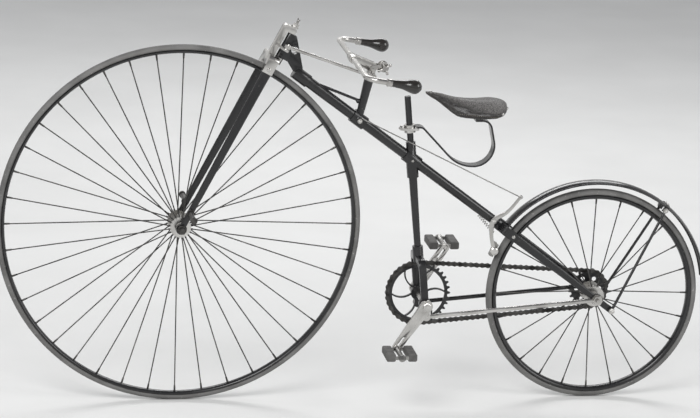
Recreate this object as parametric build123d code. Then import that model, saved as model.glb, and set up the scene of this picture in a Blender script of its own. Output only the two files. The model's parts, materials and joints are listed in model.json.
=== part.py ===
from build123d import *
from math import asin, atan2, ceil, cos, degrees, hypot, pi, radians, sin, sqrt, tan
import os

# A chain-driven bicycle of about 1879: large steered front wheel, small driven rear wheel.
# Millimetres. X runs rearwards from the front axle, Y to the rider's right, Z up from the ground.

# Fits
seat = 0.1  # brazed, clamped or screwed seat
running = 0.05  # radial clearance of a turning pin in its bore
gap = 0.3  # pieces that lie close together

# Wheels
front_wheel_radius = 508.0
rear_wheel_radius = 304.8
wheelbase = 1180.0
front_tyre_width = 22.0
rear_tyre_width = 26.0
front_tyre_depth = 17.0
rear_tyre_depth = 19.0
front_rim_depth = 8.0
rear_rim_depth = 11.0
rim_lip = 1.5
front_spoke_count = 40
rear_spoke_count = 24
spoke_radius = 1.7
flange_radius = 29.0
flange_thickness = 5.0
hub_barrel_radius = 15.0
hub_end_radius = 12.5
front_flange_y = 40.0
front_hub_half = 50.0
rear_flange_left_y = 36.0
rear_flange_right_y = 22.0
rear_hub_half = 56.0
front_axle_radius = 7.0
rear_axle_radius = 6.5
axle_nut_size = 24.0
axle_nut_thickness = 10.0
axle_end_length = 10.0
axle_shoulder_step = 4.0

# Steering head and front fork
steering_lean = 27.0
steering_offset = 18.0
fork_half_width = 60.0
fork_crown_half_width = 49.0
blade_top_width = 27.0
blade_bottom_width = 17.0
blade_thickness = 10.0
fork_eye_radius = 15.0
crown_clearance = 10.0
crown_height = 24.0
crown_depth = 30.0
cheek_length = 26.0
cheek_wall = 3.0
head_height = 74.0
head_bridge = 18.0
column_depth = 17.0
column_width = 24.0
column_set_back = 3.5
boss_rise = 5.0
boss_wall = 6.0
spindle_radius = 9.0
pivot_radius = 5.0
pivot_length = 11.0
pivot_recess = 1.0
foot_rest_height = 52.0
foot_rest_length = 84.0
foot_rest_radius = 7.0
foot_rest_clearance = 1.0
foot_rest_collar_length = 7.0
foot_rest_collar_radius = 11.0
foot_rest_knob_length = 9.0
foot_rest_knob_overlap = 5.0
foot_rest_knob_step = 2.5
cap_washer_radius = 11.0
cap_washer_height = 4.0
cap_nut_radius = 9.0
cap_nut_height = 8.0
cap_stem_radius = 4.0
cap_stem_height = 10.0
cap_prong_root = 5.0
cap_prong_rise = 8.0
cap_prong_spread = 13.0
cap_prong_radius = 3.0
cap_prong_tip = 2.4

# Backbone and posts
backbone_front_radius = 15.5
backbone_rear_radius = 13.0
neck_back = 65.2
neck_drop = 17.1
neck_socket_length = 42.0
neck_socket_wall = 3.0
neck_half_width = 11.0
neck_cap = 6.0
neck_web_head = 16.0
neck_web_foot = 26.0
neck_web_side = 12.0
neck_web_rise = 22.0
neck_window = 10.0
crank_ahead = 490.0
crank_drop = 10.8
post_lean = -6.2
seat_post_length = 150.62
seat_post_radius = 9.0
down_post_top_radius = 12.0
down_post_bottom_radius = 9.0
lug_wall = 4.5
lug_half_length = 24.0
lug_socket_length = 20.0
lug_socket_web = 1.5
down_post_depth = 8.0

# Steering pillar, handlebar and rod
pillar_setback = 222.0
pillar_lean = 12.3
pillar_height = 120.0
pillar_top_radius = 13.5
pillar_foot_radius = 10.0
pillar_collar_half = 22.0
pillar_bore = 8.0
pillar_bore_depth = 66.0
stem_radius = 12.0
stem_neck_radius = 12.5
stem_clearance = 3.5
stem_width = 26.0
stem_clamp_wall = 3.5
bar_forward = 60.6
bar_above = 44.0
bar_radius = 7.5
bar_half_width = 275.0
bar_back = 115.0
bar_drop = 18.0
bar_bend_radius = 36.0
grip_length = 92.0
grip_neck_radius = 10.5
grip_bulb_radius = 20.0
grip_bore_depth = 58.0
arm_length = 45.0
arm_thickness = 7.0
arm_eye_radius = 9.0
link_pin_radius = 3.5
link_pin_tip = 3.0
link_pin_tilt = 0.0333  # sideways lean of the stem's pin, so the rod follows the head's pin
link_rod_radius = 4.5
link_open_clearance = 0.6
link_eye = 9.0
stem_eye_lift = 0.8
head_eye_lift = 2.4
head_arm_height = 34.0
stem_arm_height = 1.0
stay_foot_setback = 28.0
stay_lug_radius = 7.0
stay_height = 50.0
stay_rod_radius = 4.0

# Saddle
saddle_rise = -4.0
saddle_back = 172.9
saddle_flap_share = 0.35
saddle_roof = 24.0
saddle_pocket_front = -40.0
saddle_pocket_rear = 64.0
saddle_pocket_front_half = 28.0
saddle_pocket_rear_half = 60.0
saddle_plate_thickness = 5.0
saddle_plate_inset = 3.0
saddle_block_front = 20.0
saddle_block_length = 20.0
spring_width = 36.0
spring_thickness = 5.0
spring_end_drop = 62.0
spring_end_back = 62.0
spring_low_drop = 192.0
spring_low_front = -24.0
spring_low_rear = 90.0
spring_clamp_bend = 16.0
spring_front_bend = 95.0
spring_rear_bend = 58.0
spring_end_bend = 26.0
clamp_below = 91.5
clamp_radius = 16.0
clamp_thickness = 22.0
clamp_plate_thickness = 6.0
clamp_plate_front = 24.0
clamp_plate_rear = 24.0
clamp_plate_margin = 2.0
spring_bend_run = 10.0

# Chain drive
chain_pitch = 15.875
chainwheel_teeth = 35
sprocket_teeth = 21
chain_y = 46.0
chain_width = 10.0
chain_plate = 2.7
link_high = 5.2
link_low = 3.4
tooth_thickness = 4.0
tooth_depth = 4.4
tooth_tip = 3.2
tooth_tip_share = 0.11
tooth_root_share = 0.3
tooth_margin = 1.0
chainwheel_arms = 6
chainwheel_ring = 9.0
chainwheel_boss = 21.0
chainwheel_arm_bow = 12.0
chainwheel_arm_width = 8.0
chainwheel_arm_root = 4.0
chainwheel_boss_step = 3.0
sprocket_holes = 6
sprocket_hole_radius = 6.5
sprocket_collar = 7.0
sprocket_collar_step = 3.0
crank_axle_radius = 9.0
crank_axle_step = 4.0
crank_axle_end = 2.0
crank_length = 145.0
crank_angle = 236.0
crank_thickness = 13.0
crank_inner_y = 88.0
crank_boss_radius = 17.0
crank_end_radius = 11.0
crank_slot_width = 8.0
crank_slot_length = 46.0
crank_slot_back = 15.3
crank_pin_seat = 1.0
pedal_pin_radius = 6.0
pedal_pin_end = 2.0
pedal_pin_room = 1.0
pedal_shoulder_step = 3.0
pedal_length = 84.0
pedal_plate = 3.5
pedal_block_width = 26.0
pedal_block_height = 22.0
pedal_block_spacing = 30.0
pedal_block_round = 5.0
pedal_barrel_radius = 9.5
pedal_gap = 6.0
pedal_cap_length = 18.0
pedal_cap_step = 1.0
pedal_cap_tip = 1.5

# Rear frame
frame_half_width = 68.0
leg_top_half_width = 50.0
leg_top_height = 24.0
leg_bottom_height = 17.0
leg_thickness = 9.0
leg_eye_radius = 16.0
leg_tail = 53.0
leg_tail_radius = 9.0
leg_cheek_length = 22.0
stay_eye_radius = 12.0
stay_rear_eye = 15.0
stay_eye_thickness = 7.0
chain_stay_radius = 6.0
chain_stay_drop = 36.0
stay_overlap = 0.5
stay_trim = 60.0
stay_trim_slack = 0.0005
rear_crown_clearance = 12.0
rear_crown_length = 24.0
rear_crown_sleeve = 10.0
rear_crown_floor = 4.0
rear_crown_round = 14.0
rear_crown_foot = 16.0
rear_crown_lip = 1.0
yoke_bar_height = 22.0
yoke_depth = 20.0
yoke_leg_thickness = 11.0
yoke_boss_radius = 17.0
yoke_boss_width = 16.0
yoke_boss_stand = 3.0
yoke_socket_floor = 2.0
yoke_socket_rise = 26.0
yoke_socket_wall = 6.0
yoke_stud_radius = 5.0
yoke_stud_end = 2.0
yoke_clearance = 9.0

# Mudguard
guard_clearance = 23.2
guard_width = 46.0
guard_thickness = 2.0
guard_rise = 6.0
guard_front_turn = -4.9
guard_rear_angle = 8.0
guard_clip_angle = 52.0
guard_clip_width = 14.0
guard_clip_depth = 14.0
guard_clip_plate = 3.0
guard_stay_radius = 4.0
guard_stay_set = 2.0
guard_stay_foot_eye = 9.0
guard_stay_ear_eye = 7.0

# Rear brake
brake_shoe_turn = 12.1
brake_shoe_clearance = 9.0
brake_shoe_span = 7.0
brake_shoe_thickness = 9.0
brake_shoe_width = 30.0
brake_shoe_crown = 2.0
brake_pivot_ahead = 27.2
brake_lever_y = 21.0
brake_lever_thickness = 5.0
brake_lever_width = 11.0
brake_pivot_step = 2.0
brake_tip_step = 1.0
brake_boss_step = 3.0
brake_tip_turn = -15.9
brake_tip_rise = 57.2
brake_rod_radius = 1.6
brake_pulley_radius = 10.0
brake_pulley_width = 7.0
brake_pulley_groove = 3.0
brake_pulley_edge = 1.7
brake_spring_radius = 5.0
brake_spring_hook = 1.5
brake_spring_ahead = 38.0
brake_spring_share = 0.4
brake_spring_end = 14.0
winder_cheek = 3.0
winder_root = 6.0
winder_radius = 10.0
winder_flange_radius = 14.0
winder_half = 14.0
winder_knob_radius = 6.0
winder_knob_reach = 12.0
winder_knob_length = 6.0
winder_knob_taper = 2.0
winder_pin_radius = 3.5
winder_flange = 3.0
winder_arms = 4
winder_arm_reach = 17.0
winder_arm_radius = 2.6
winder_ball_radius = 4.4
winder_arm_phase = 27.0
winder_back = 30.0
winder_above = 40.0

front_hub = Vector(0, 0, front_wheel_radius)
rear_hub = Vector(wheelbase, 0, rear_wheel_radius)
crank_centre = Vector(wheelbase - crank_ahead, 0, rear_wheel_radius - crank_drop)
side_y = Vector(0, 1, 0)

# Levels up the front fork and along the backbone, from each wheel's own axle
crown_low = front_wheel_radius + crown_clearance
crown_top = crown_low + crown_height
head_top = crown_top + head_height + head_bridge
cheek_low = crown_low - cheek_length
crown_near = rear_wheel_radius + rear_crown_clearance
crown_far = crown_near + rear_crown_length
leg_cheek = crown_near - leg_cheek_length
guard_radius = rear_wheel_radius + guard_clearance
brake_pivot_reach = crown_far + brake_pivot_ahead
brake_tip_reach = rear_wheel_radius + brake_tip_rise
backbone_rear_reach = crown_near + rear_crown_floor


# Shared shapes
def rod(start, end, radius, end_radius=None):
    """A round bar between two points, tapered when an end radius is given."""
    axis = Vector(end) - Vector(start)
    plane = Plane(origin=start, z_dir=axis)
    if end_radius is None or abs(end_radius - radius) < 1e-6:
        return Solid.make_cylinder(radius, axis.length, plane)
    return Solid.make_cone(radius, end_radius, axis.length, plane)


def lathe(centre, outline, bore=0.0):
    """Turn (radius, y) pairs about the Y axis through a centre."""
    points = [(bore, outline[0][1]), *outline, (bore, outline[-1][1])]
    face = make_face(Polyline(*points, close=True))
    return revolve(face, Axis.Y).moved(Location(centre))


def polar(centre, radius, angle, y=0.0):
    """A point at an angle from +X towards +Z about a centre in the side view."""
    return Vector(centre.X + radius * cos(radians(angle)), y, centre.Z + radius * sin(radians(angle)))


def side_frame(origin, lean):
    """Local x runs back, local y runs up the leaning line and local z points to the left."""
    back = (cos(radians(lean)), 0, -sin(radians(lean)))
    return Plane(origin=origin, x_dir=back, z_dir=(0, -1, 0))


def on(frame, back, y, up):
    """A point given in a side frame, with y in the bicycle's own direction."""
    return frame.from_local_coords(Vector(back, up, -y))


def plate(frame, sketch, y_low, y_high):
    """Extrude a side-view sketch between two heights on the Y axis."""
    return extrude(frame.offset(-y_high) * sketch, y_high - y_low)


def bar_outline(start, end, start_radius, end_radius):
    """The outline of a flat bar with round ends of two radii."""
    start_ring = Pos(*start) * Circle(start_radius)
    end_ring = Pos(*end) * Circle(end_radius)
    return make_hull([*start_ring.edges(), *end_ring.edges()])


def link_way(frame, tilt):
    """The direction of a link pin: up the leaning axis, tilted sideways."""
    return (frame.y_dir + side_y * tilt).normalized()


def link_arm(frame, back, up, root_back, root_y, lift, tilt):
    """A flat arm to the left of an upright axis, with the link's pin standing on its end."""
    plane = Plane(origin=on(frame, back, 0, up), x_dir=frame.x_dir, z_dir=frame.y_dir)
    outline = bar_outline((0, -arm_length), (root_back, -root_y), arm_eye_radius, arm_eye_radius)
    below = arm_thickness / 2 + lift + link_eye / 2
    middle = on(frame, back, -arm_length, up + arm_thickness + lift + link_eye / 2)
    way = link_way(frame, tilt)
    pin = rod(middle - way * below, middle + way * (link_eye / 2 + link_pin_tip), link_pin_radius)
    return extrude(plane * outline, arm_thickness) + pin


def mirrored(left):
    """The right-hand twin of a left-hand piece."""
    return left.mirror(Plane.XZ)


def hex_nut(centre, y_low, y_high, size):
    """A nut of a given size across its flats, on a crosswise axle."""
    frame = side_frame(Vector(centre.X, 0, centre.Z), 0)
    return plate(frame, RegularPolygon(size / 2, 6, major_radius=False), y_low, y_high)


nodes = {}
ground_frame = side_frame(Vector(0, 0, 0), 0)

# Wheels: a solid tyre on a crescent rim, carried by radial spokes from two hub flanges
wheel_table = [
    # name, hub, radius, tyre width, tyre depth, rim depth, spokes, left flange y, right flange y
    ("front", front_hub, front_wheel_radius, front_tyre_width, front_tyre_depth, front_rim_depth,
     front_spoke_count, front_flange_y, front_flange_y),
    ("rear", rear_hub, rear_wheel_radius, rear_tyre_width, rear_tyre_depth, rear_rim_depth,
     rear_spoke_count, rear_flange_left_y, rear_flange_right_y),
]


def tyre(hub, radius, width, depth):
    half = width / 2
    base = radius - depth
    sides = Polyline((radius - half, -half), (base, -half), (base, half), (radius - half, half))
    crown = ThreePointArc((radius - half, half), (radius, 0), (radius - half, -half))
    return revolve(make_face([*sides.edges(), crown.edge()]), Axis.Y).moved(Location(hub))


def rim(hub, outer, width, depth):
    half = width / 2 + rim_lip
    top = Line((outer, -half), (outer, half))
    under = ThreePointArc((outer, half), (outer - depth, 0), (outer, -half))
    return revolve(make_face([top.edge(), under.edge()]), Axis.Y).moved(Location(hub))


def spokes(hub, count, rim_radius, left_y, right_y):
    bars = []
    for index in range(count):
        angle = 360.0 * index / count
        flange_y = -left_y if index % 2 else right_y
        inner = polar(hub, flange_radius + gap, angle, flange_y)
        outer = polar(hub, rim_radius - gap, angle)
        bars.append(rod(inner, outer, spoke_radius))
    return Compound(children=bars)


for name, hub, radius, width, depth, rim_depth, count, left_y, right_y in wheel_table:
    rim_outer = radius - depth - seat
    nodes[f"{name}_tyre"] = tyre(hub, radius, width, depth)
    nodes[f"{name}_rim"] = rim(hub, rim_outer, width, rim_depth)
    nodes[f"{name}_spokes"] = spokes(hub, count, rim_outer - rim_depth, left_y, right_y)


def hub_shell(hub, left_y, right_y, half, axle_radius):
    thick = flange_thickness / 2
    outline = [
        (hub_end_radius, -half),
        (hub_end_radius, -left_y - thick),
        (flange_radius, -left_y - thick),
        (flange_radius, -left_y + thick),
        (hub_barrel_radius, -left_y + thick),
        (hub_barrel_radius, right_y - thick),
        (flange_radius, right_y - thick),
        (flange_radius, right_y + thick),
        (hub_end_radius, right_y + thick),
        (hub_end_radius, half),
    ]
    return lathe(hub, outline, axle_radius + running)


nodes["front_hub"] = hub_shell(front_hub, front_flange_y, front_flange_y, front_hub_half, front_axle_radius)
nodes["rear_hub"] = hub_shell(
    rear_hub, rear_flange_left_y, rear_flange_right_y, rear_hub_half, rear_axle_radius
)


def axle(hub, radius, hub_half, inner_face, nut_face, creep):
    """A fixed spindle with a shoulder inside each fork end and a nut outside it.

    Creep is how fast the fork's inner face closes in with the distance from the axle.
    """
    end = nut_face + axle_nut_thickness + axle_end_length
    shoulder = radius + axle_shoulder_step
    inner_face -= creep * shoulder + seat
    outline = [
        (radius, -end),
        (radius, -inner_face),
        (shoulder, -inner_face),
        (shoulder, -hub_half - gap),
        (radius, -hub_half - gap),
        (radius, hub_half + gap),
        (shoulder, hub_half + gap),
        (shoulder, inner_face),
        (radius, inner_face),
        (radius, end),
    ]
    shaft = lathe(hub, outline)
    for sign in (-1, 1):
        low, high = sorted((sign * (nut_face + seat), sign * (nut_face + axle_nut_thickness)))
        shaft += hex_nut(hub, low, high, axle_nut_size)
    return shaft


nodes["front_axle"] = axle(
    front_hub,
    front_axle_radius,
    front_hub_half,
    fork_half_width - blade_thickness / 2,
    fork_half_width + blade_thickness / 2,
    (fork_half_width - fork_crown_half_width) / (cheek_low - seat),
)
stay_outer_y = frame_half_width + leg_thickness / 2 + seat + stay_eye_thickness
nodes["rear_axle"] = axle(
    rear_hub,
    rear_axle_radius,
    rear_hub_half,
    frame_half_width - leg_thickness / 2,
    stay_outer_y,
    (frame_half_width - leg_top_half_width) / (leg_cheek - seat),
)

# Front fork: two tapering blades hung from an open head that turns on the neck's spindle
fork = side_frame(front_hub, steering_lean)
fork_cross = Plane(origin=front_hub, x_dir=(0, 1, 0), z_dir=fork.x_dir)


def fork_blade():
    """The left blade, lofted from its fork end up to the crown cheek."""
    sections = [
        # up the blade, half spread, width fore and aft
        (0.0, fork_half_width, blade_bottom_width),
        (cheek_low - seat, fork_crown_half_width, blade_top_width),
    ]
    faces = []
    for up, spread, width in sections:
        plane = Plane(origin=on(fork, 0, -spread, up), x_dir=fork.x_dir, z_dir=fork.y_dir)
        faces.append(plane * SlotOverall(width, blade_thickness))
    blade = loft(faces, ruled=True)
    low = -fork_half_width - blade_thickness / 2
    high = -fork_half_width + blade_thickness / 2
    eye = plate(fork, Circle(fork_eye_radius), low, high)
    bore = plate(fork, Circle(front_axle_radius + seat), low - fork_eye_radius, high + fork_eye_radius)
    return blade + eye - bore


nodes["fork_blade_left"] = fork_blade()
nodes["fork_blade_right"] = mirrored(nodes["fork_blade_left"])


def fork_head():
    """Crown with two cheeks, a front column and a top bridge, open at the back for the neck."""
    half = fork_crown_half_width + blade_thickness / 2 + cheek_wall
    arch = fork_crown_half_width - blade_thickness / 2 - cheek_wall
    block = Pos(0, (cheek_low + crown_top) / 2) * RectangleRounded(
        2 * half, crown_top - cheek_low, crown_height / 2
    )
    feet = Pos(0, cheek_low + crown_height / 4) * Rectangle(2 * half, crown_height / 2)
    opening = Pos(0, crown_low - arch) * Circle(arch)
    opening += Pos(0, crown_low - 2 * arch) * Rectangle(2 * arch, 2 * arch)
    crown = extrude(fork_cross * (block + feet - opening), crown_depth / 2, both=True)
    column_back = column_set_back - column_depth / 2
    column_low = crown_top - crown_height / 2
    column_high = head_top - head_bridge / 2
    boss = rod(
        on(fork, steering_offset, 0, crown_low + boss_rise),
        on(fork, steering_offset, 0, crown_top),
        spindle_radius + boss_wall,
    )
    column_length = column_high - column_low
    column_face = Pos(column_back, column_low + column_length / 2) * Rectangle(column_depth, column_length)
    column = plate(fork, column_face, -column_width / 2, column_width / 2)
    bridge = plate(
        fork,
        bar_outline(
            (column_back, column_high),
            (steering_offset, column_high),
            head_bridge / 2,
            head_bridge / 2,
        ),
        -column_width / 2,
        column_width / 2,
    )
    arm = link_arm(
        fork,
        steering_offset,
        crown_top + head_arm_height - arm_thickness,
        -steering_offset,
        column_width / 2,
        head_eye_lift,
        0.0,
    )
    bore = rod(
        on(fork, steering_offset, 0, crown_top - pivot_length - gap),
        on(fork, steering_offset, 0, head_top + gap),
        pivot_radius + running,
    )
    return crown + boss + column + bridge + arm - bore


nodes["fork_head"] = fork_head()


def head_cap():
    """Adjusting screw on the head: washer, hexagon and a two-pronged thumb grip."""
    base = on(fork, steering_offset, 0, head_top)
    up = fork.y_dir
    nut_base = base + up * cap_washer_height
    nut_top = nut_base + up * cap_nut_height
    washer = rod(base + up * seat, nut_base, cap_washer_radius)
    nut_plane = Plane(origin=nut_base, x_dir=(0, 1, 0), z_dir=up)
    nut = extrude(nut_plane * RegularPolygon(cap_nut_radius, 6), cap_nut_height)
    stem = rod(nut_top, nut_top + up * cap_stem_height, cap_stem_radius)
    cap = washer + nut + stem
    root = nut_top + up * cap_prong_root
    for sign in (-1, 1):
        tip = root + up * cap_prong_rise + side_y * (sign * cap_prong_spread)
        cap += rod(root, tip, cap_prong_radius, cap_prong_tip)
    return cap


nodes["head_cap"] = head_cap()


def foot_rest():
    """The left coasting peg, clamped round the fork blade."""
    share = foot_rest_height / cheek_low
    spread = fork_half_width + (fork_crown_half_width - fork_half_width) * share
    outer = -spread - blade_thickness / 2 - foot_rest_clearance
    collar = rod(
        on(fork, 0, outer + gap, foot_rest_height),
        on(fork, 0, outer - foot_rest_collar_length, foot_rest_height),
        foot_rest_collar_radius,
    )
    peg = rod(
        on(fork, 0, outer - foot_rest_collar_length, foot_rest_height),
        on(fork, 0, outer - foot_rest_length, foot_rest_height),
        foot_rest_radius,
    )
    knob_start = on(fork, 0, outer - foot_rest_length + foot_rest_knob_overlap, foot_rest_height)
    knob_end = knob_start - side_y * foot_rest_knob_length
    knob = rod(knob_start, knob_end, foot_rest_radius + foot_rest_knob_step)
    return collar + peg + knob


left_rest = foot_rest()
nodes["foot_rests"] = Compound(children=[left_rest, mirrored(left_rest)])

# Backbone: one straight tapering tube from the neck, aimed at the rear axle
post = side_frame(crank_centre, post_lean)
neck_point = on(fork, steering_offset + neck_back, 0, crown_top - neck_drop)
backbone_front_reach = (neck_point - rear_hub).length
backbone_slope = degrees(atan2(neck_point.Z - rear_hub.Z, rear_hub.X - neck_point.X))
backbone = side_frame(rear_hub, backbone_slope - 90)
backbone_angle = 180 - backbone_slope
guard_front_angle = backbone_angle + guard_front_turn
brake_shoe_angle = backbone_angle + brake_shoe_turn
brake_tip_angle = backbone_angle + brake_tip_turn
pillar_reach = backbone_front_reach - pillar_setback


def backbone_radius(reach):
    """The tube's radius at a distance from the rear axle."""
    share = (reach - backbone_rear_reach) / (backbone_front_reach - backbone_rear_reach)
    return backbone_rear_radius + (backbone_front_radius - backbone_rear_radius) * share


def backbone_point(reach, y=0.0):
    return on(backbone, 0, y, reach)


def tube_space(extra):
    """The backbone's own cone, grown by a clearance, to bore what is fitted on it."""
    return rod(
        backbone_point(backbone_rear_reach),
        backbone_point(backbone_front_reach),
        backbone_rear_radius + extra,
        backbone_front_radius + extra,
    )


nodes["backbone"] = tube_space(0.0)


def neck():
    """Head spindle with two webs that run back to the socket on the backbone."""
    low = crown_top + gap
    high = head_top - head_bridge - gap
    foot = on(fork, steering_offset, 0, low)
    head = on(fork, steering_offset, 0, high)
    spindle = rod(foot, head, spindle_radius)
    lower_pin = rod(on(fork, steering_offset, 0, crown_top - pivot_length), foot, pivot_radius)
    upper_pin = rod(head, on(fork, steering_offset, 0, head_top - pivot_recess), pivot_radius)
    socket_low = backbone_front_reach - neck_socket_length
    socket = rod(
        backbone_point(socket_low),
        backbone_point(backbone_front_reach + neck_cap),
        backbone_front_radius + neck_socket_wall,
    )
    top = backbone_point(backbone_front_reach + neck_cap)
    mid = backbone_point(backbone_front_reach - neck_cap)
    rear_top = fork.to_local_coords(top)
    rear_mid = fork.to_local_coords(mid)
    webs = Polyline(
        (steering_offset, low),
        (steering_offset, high),
        (steering_offset + neck_web_head, high),
        (rear_top.X + neck_web_side, rear_top.Y + neck_web_rise),
        (rear_mid.X + neck_web_side, rear_mid.Y + neck_cap),
        (rear_top.X - neck_cap, rear_top.Y),
        (steering_offset + neck_web_foot, low),
        close=True,
    )
    window = Pos((steering_offset + rear_top.X) / 2, (low + high) / 2) * Circle(neck_window)
    web = plate(fork, make_face(webs) - window, -neck_half_width, neck_half_width)
    return spindle + lower_pin + upper_pin + web + socket - tube_space(seat)


nodes["neck"] = neck()

# Posts: a seat post above the backbone and a tapering down post below it, joined by a lug
lean_tangent = sin(radians(post_lean)) / cos(radians(post_lean))
slope_tangent = sin(radians(backbone_slope)) / cos(radians(backbone_slope))
rear_rise = (rear_hub.X - crank_centre.X) * slope_tangent
crossing_up = (rear_hub.Z + rear_rise - crank_centre.Z) / (1 + lean_tangent * slope_tangent)
crossing_height = crossing_up / cos(radians(post_lean))
crossing_point = on(post, 0, 0, crossing_height)
crossing_reach = (crossing_point - rear_hub).length
crossing_radius = backbone_radius(crossing_reach)
lug_floor = crossing_radius + lug_wall
crossing_angle = radians(90 - backbone_slope + post_lean)


def socket_floor(radius):
    """How far up the post's line a post of this radius clears the backbone."""
    return (crossing_radius + lug_socket_web) / sin(crossing_angle) + radius / tan(crossing_angle)


upper_floor = crossing_height + socket_floor(seat_post_radius)
lower_floor = crossing_height - socket_floor(down_post_top_radius)
post_top = upper_floor + seat_post_length
chainwheel_radius = chain_pitch / 2 / sin(pi / chainwheel_teeth)
sprocket_radius = chain_pitch / 2 / sin(pi / sprocket_teeth)
yoke_bar_low = chainwheel_radius + link_high + yoke_clearance
yoke_bar_top = yoke_bar_low + yoke_bar_height
down_post_low = yoke_bar_top - down_post_depth

nodes["seat_post"] = rod(
    on(post, 0, 0, upper_floor + seat), on(post, 0, 0, post_top), seat_post_radius
)
nodes["down_post"] = rod(
    on(post, 0, 0, down_post_low),
    on(post, 0, 0, lower_floor - seat),
    down_post_bottom_radius,
    down_post_top_radius,
)


def post_lug():
    """Sleeve on the backbone with a socket above for the seat post and one below."""
    sleeve = rod(
        backbone_point(crossing_reach - lug_half_length),
        backbone_point(crossing_reach + lug_half_length),
        lug_floor,
    )
    up_end = upper_floor + lug_socket_length
    down_end = lower_floor - lug_socket_length
    upper = rod(crossing_point, on(post, 0, 0, up_end), seat_post_radius + lug_wall)
    lower = rod(crossing_point, on(post, 0, 0, down_end), down_post_top_radius + lug_wall)
    up_bore = rod(
        on(post, 0, 0, upper_floor), on(post, 0, 0, up_end + gap), seat_post_radius + seat
    )
    down_bore = rod(
        on(post, 0, 0, lower_floor),
        on(post, 0, 0, down_end - gap),
        down_post_top_radius + seat,
    )
    return sleeve + upper + lower - up_bore - down_bore - tube_space(seat)


nodes["post_lug"] = post_lug()

# Crank yoke: an inverted U on the down post that carries the crank axle between two bosses
yoke_cross = Plane(origin=crank_centre, x_dir=(0, 1, 0), z_dir=post.x_dir)


def crank_yoke():
    outer = frame_half_width + yoke_leg_thickness / 2
    inner = frame_half_width - yoke_leg_thickness / 2
    low = -chain_stay_drop
    shape = Pos(0, (low + yoke_bar_top) / 2) * Rectangle(2 * outer, yoke_bar_top - low)
    shape = fillet(shape.vertices().sort_by(Axis.Y)[-2:], yoke_bar_height)
    opening = Pos(0, (low + yoke_bar_low) / 2 - yoke_bar_height) * Rectangle(
        2 * inner, yoke_bar_low - low + 2 * yoke_bar_height
    )
    opening = fillet(opening.vertices().sort_by(Axis.Y)[-2:], yoke_bar_height / 2)
    body = extrude(yoke_cross * (shape - opening), yoke_depth / 2, both=True)
    socket = rod(
        on(post, 0, 0, yoke_bar_low + yoke_socket_floor),
        on(post, 0, 0, yoke_bar_top + yoke_socket_rise),
        down_post_bottom_radius + yoke_socket_wall,
    )
    socket_bore = rod(
        on(post, 0, 0, down_post_low - seat),
        on(post, 0, 0, lower_floor - seat),
        down_post_bottom_radius + seat,
        down_post_top_radius + seat,
    )
    body += socket
    stud_place = Pos(0, -chain_stay_drop)
    stud_reach = outer + stay_eye_thickness + yoke_stud_end
    for sign in (-1, 1):
        low_y, high_y = sorted((sign * (outer - yoke_boss_width), sign * (outer + yoke_boss_stand)))
        body += plate(post, Circle(yoke_boss_radius), low_y, high_y)
        lug_low, lug_high = sorted((sign * inner, sign * outer))
        body += plate(post, stud_place * Circle(stay_eye_radius), lug_low, lug_high)
        stud_low, stud_high = sorted((sign * outer, sign * stud_reach))
        body += plate(post, stud_place * Circle(yoke_stud_radius), stud_low, stud_high)
    axle_bore = plate(post, Circle(crank_axle_radius + running), -2 * outer, 2 * outer)
    return body - socket_bore - axle_bore


nodes["crank_yoke"] = crank_yoke()


def inner_trim(place, face_y):
    """A block on the inner side of an eye's face, for a bar that is thicker than the eye."""
    middle = face_y + stay_trim / 2 + stay_trim_slack
    return Pos(place.X, middle, place.Z) * Box(stay_trim, stay_trim, stay_trim)


def chain_stay():
    """The left stay, an eye on the yoke's stud and another on the rear axle."""
    outer = frame_half_width + yoke_leg_thickness / 2
    front_low = outer + seat
    rear_low = frame_half_width + leg_thickness / 2 + seat
    front = on(post, 0, -front_low - stay_eye_thickness / 2, -chain_stay_drop)
    rear = Vector(rear_hub.X, -rear_low - stay_eye_thickness / 2, rear_hub.Z)
    way = (rear - front).normalized()
    bar = rod(
        front + way * (stay_eye_radius - stay_overlap),
        rear - way * (stay_rear_eye - stay_overlap),
        chain_stay_radius,
    )
    bar -= inner_trim(front, -front_low)
    bar -= inner_trim(rear, -rear_low)
    stud_place = Pos(0, -chain_stay_drop)
    front_face = stud_place * Circle(stay_eye_radius)
    front_eye = plate(post, front_face, -front_low - stay_eye_thickness, -front_low)
    rear_frame = side_frame(rear_hub, 0)
    rear_eye = plate(rear_frame, Circle(stay_rear_eye), -rear_low - stay_eye_thickness, -rear_low)
    stud = plate(post, stud_place * Circle(yoke_stud_radius + seat), -2 * outer, 0)
    hole = plate(rear_frame, Circle(rear_axle_radius + seat), -2 * outer, 0)
    return bar + front_eye + rear_eye - stud - hole


nodes["chain_stay_left"] = chain_stay()
nodes["chain_stay_right"] = mirrored(nodes["chain_stay_left"])

# Rear fork: a crown on the backbone's end and two legs down past the rear axle


def rear_fork_crown():
    half = leg_top_half_width + leg_thickness / 2 + cheek_wall
    arch = leg_top_half_width - leg_thickness / 2 - cheek_wall
    cross = Plane(origin=rear_hub, x_dir=(0, 1, 0), z_dir=backbone.x_dir)
    block = Pos(0, (leg_cheek + crown_far) / 2) * RectangleRounded(
        2 * half, crown_far - leg_cheek, rear_crown_round
    )
    feet = Pos(0, leg_cheek + rear_crown_foot / 2) * Rectangle(2 * half, rear_crown_foot)
    opening = Pos(0, crown_near - arch) * Circle(arch)
    opening += Pos(0, crown_near - 2 * arch) * Rectangle(2 * arch, 2 * arch)
    depth = leg_top_height / 2 + rear_crown_lip
    body = extrude(cross * (block + feet - opening), depth, both=True)
    sleeve = rod(
        backbone_point(backbone_rear_reach),
        backbone_point(crown_far + rear_crown_sleeve),
        backbone_rear_radius + lug_wall,
    )
    return body + sleeve - tube_space(seat)


nodes["rear_fork_crown"] = rear_fork_crown()


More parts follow.
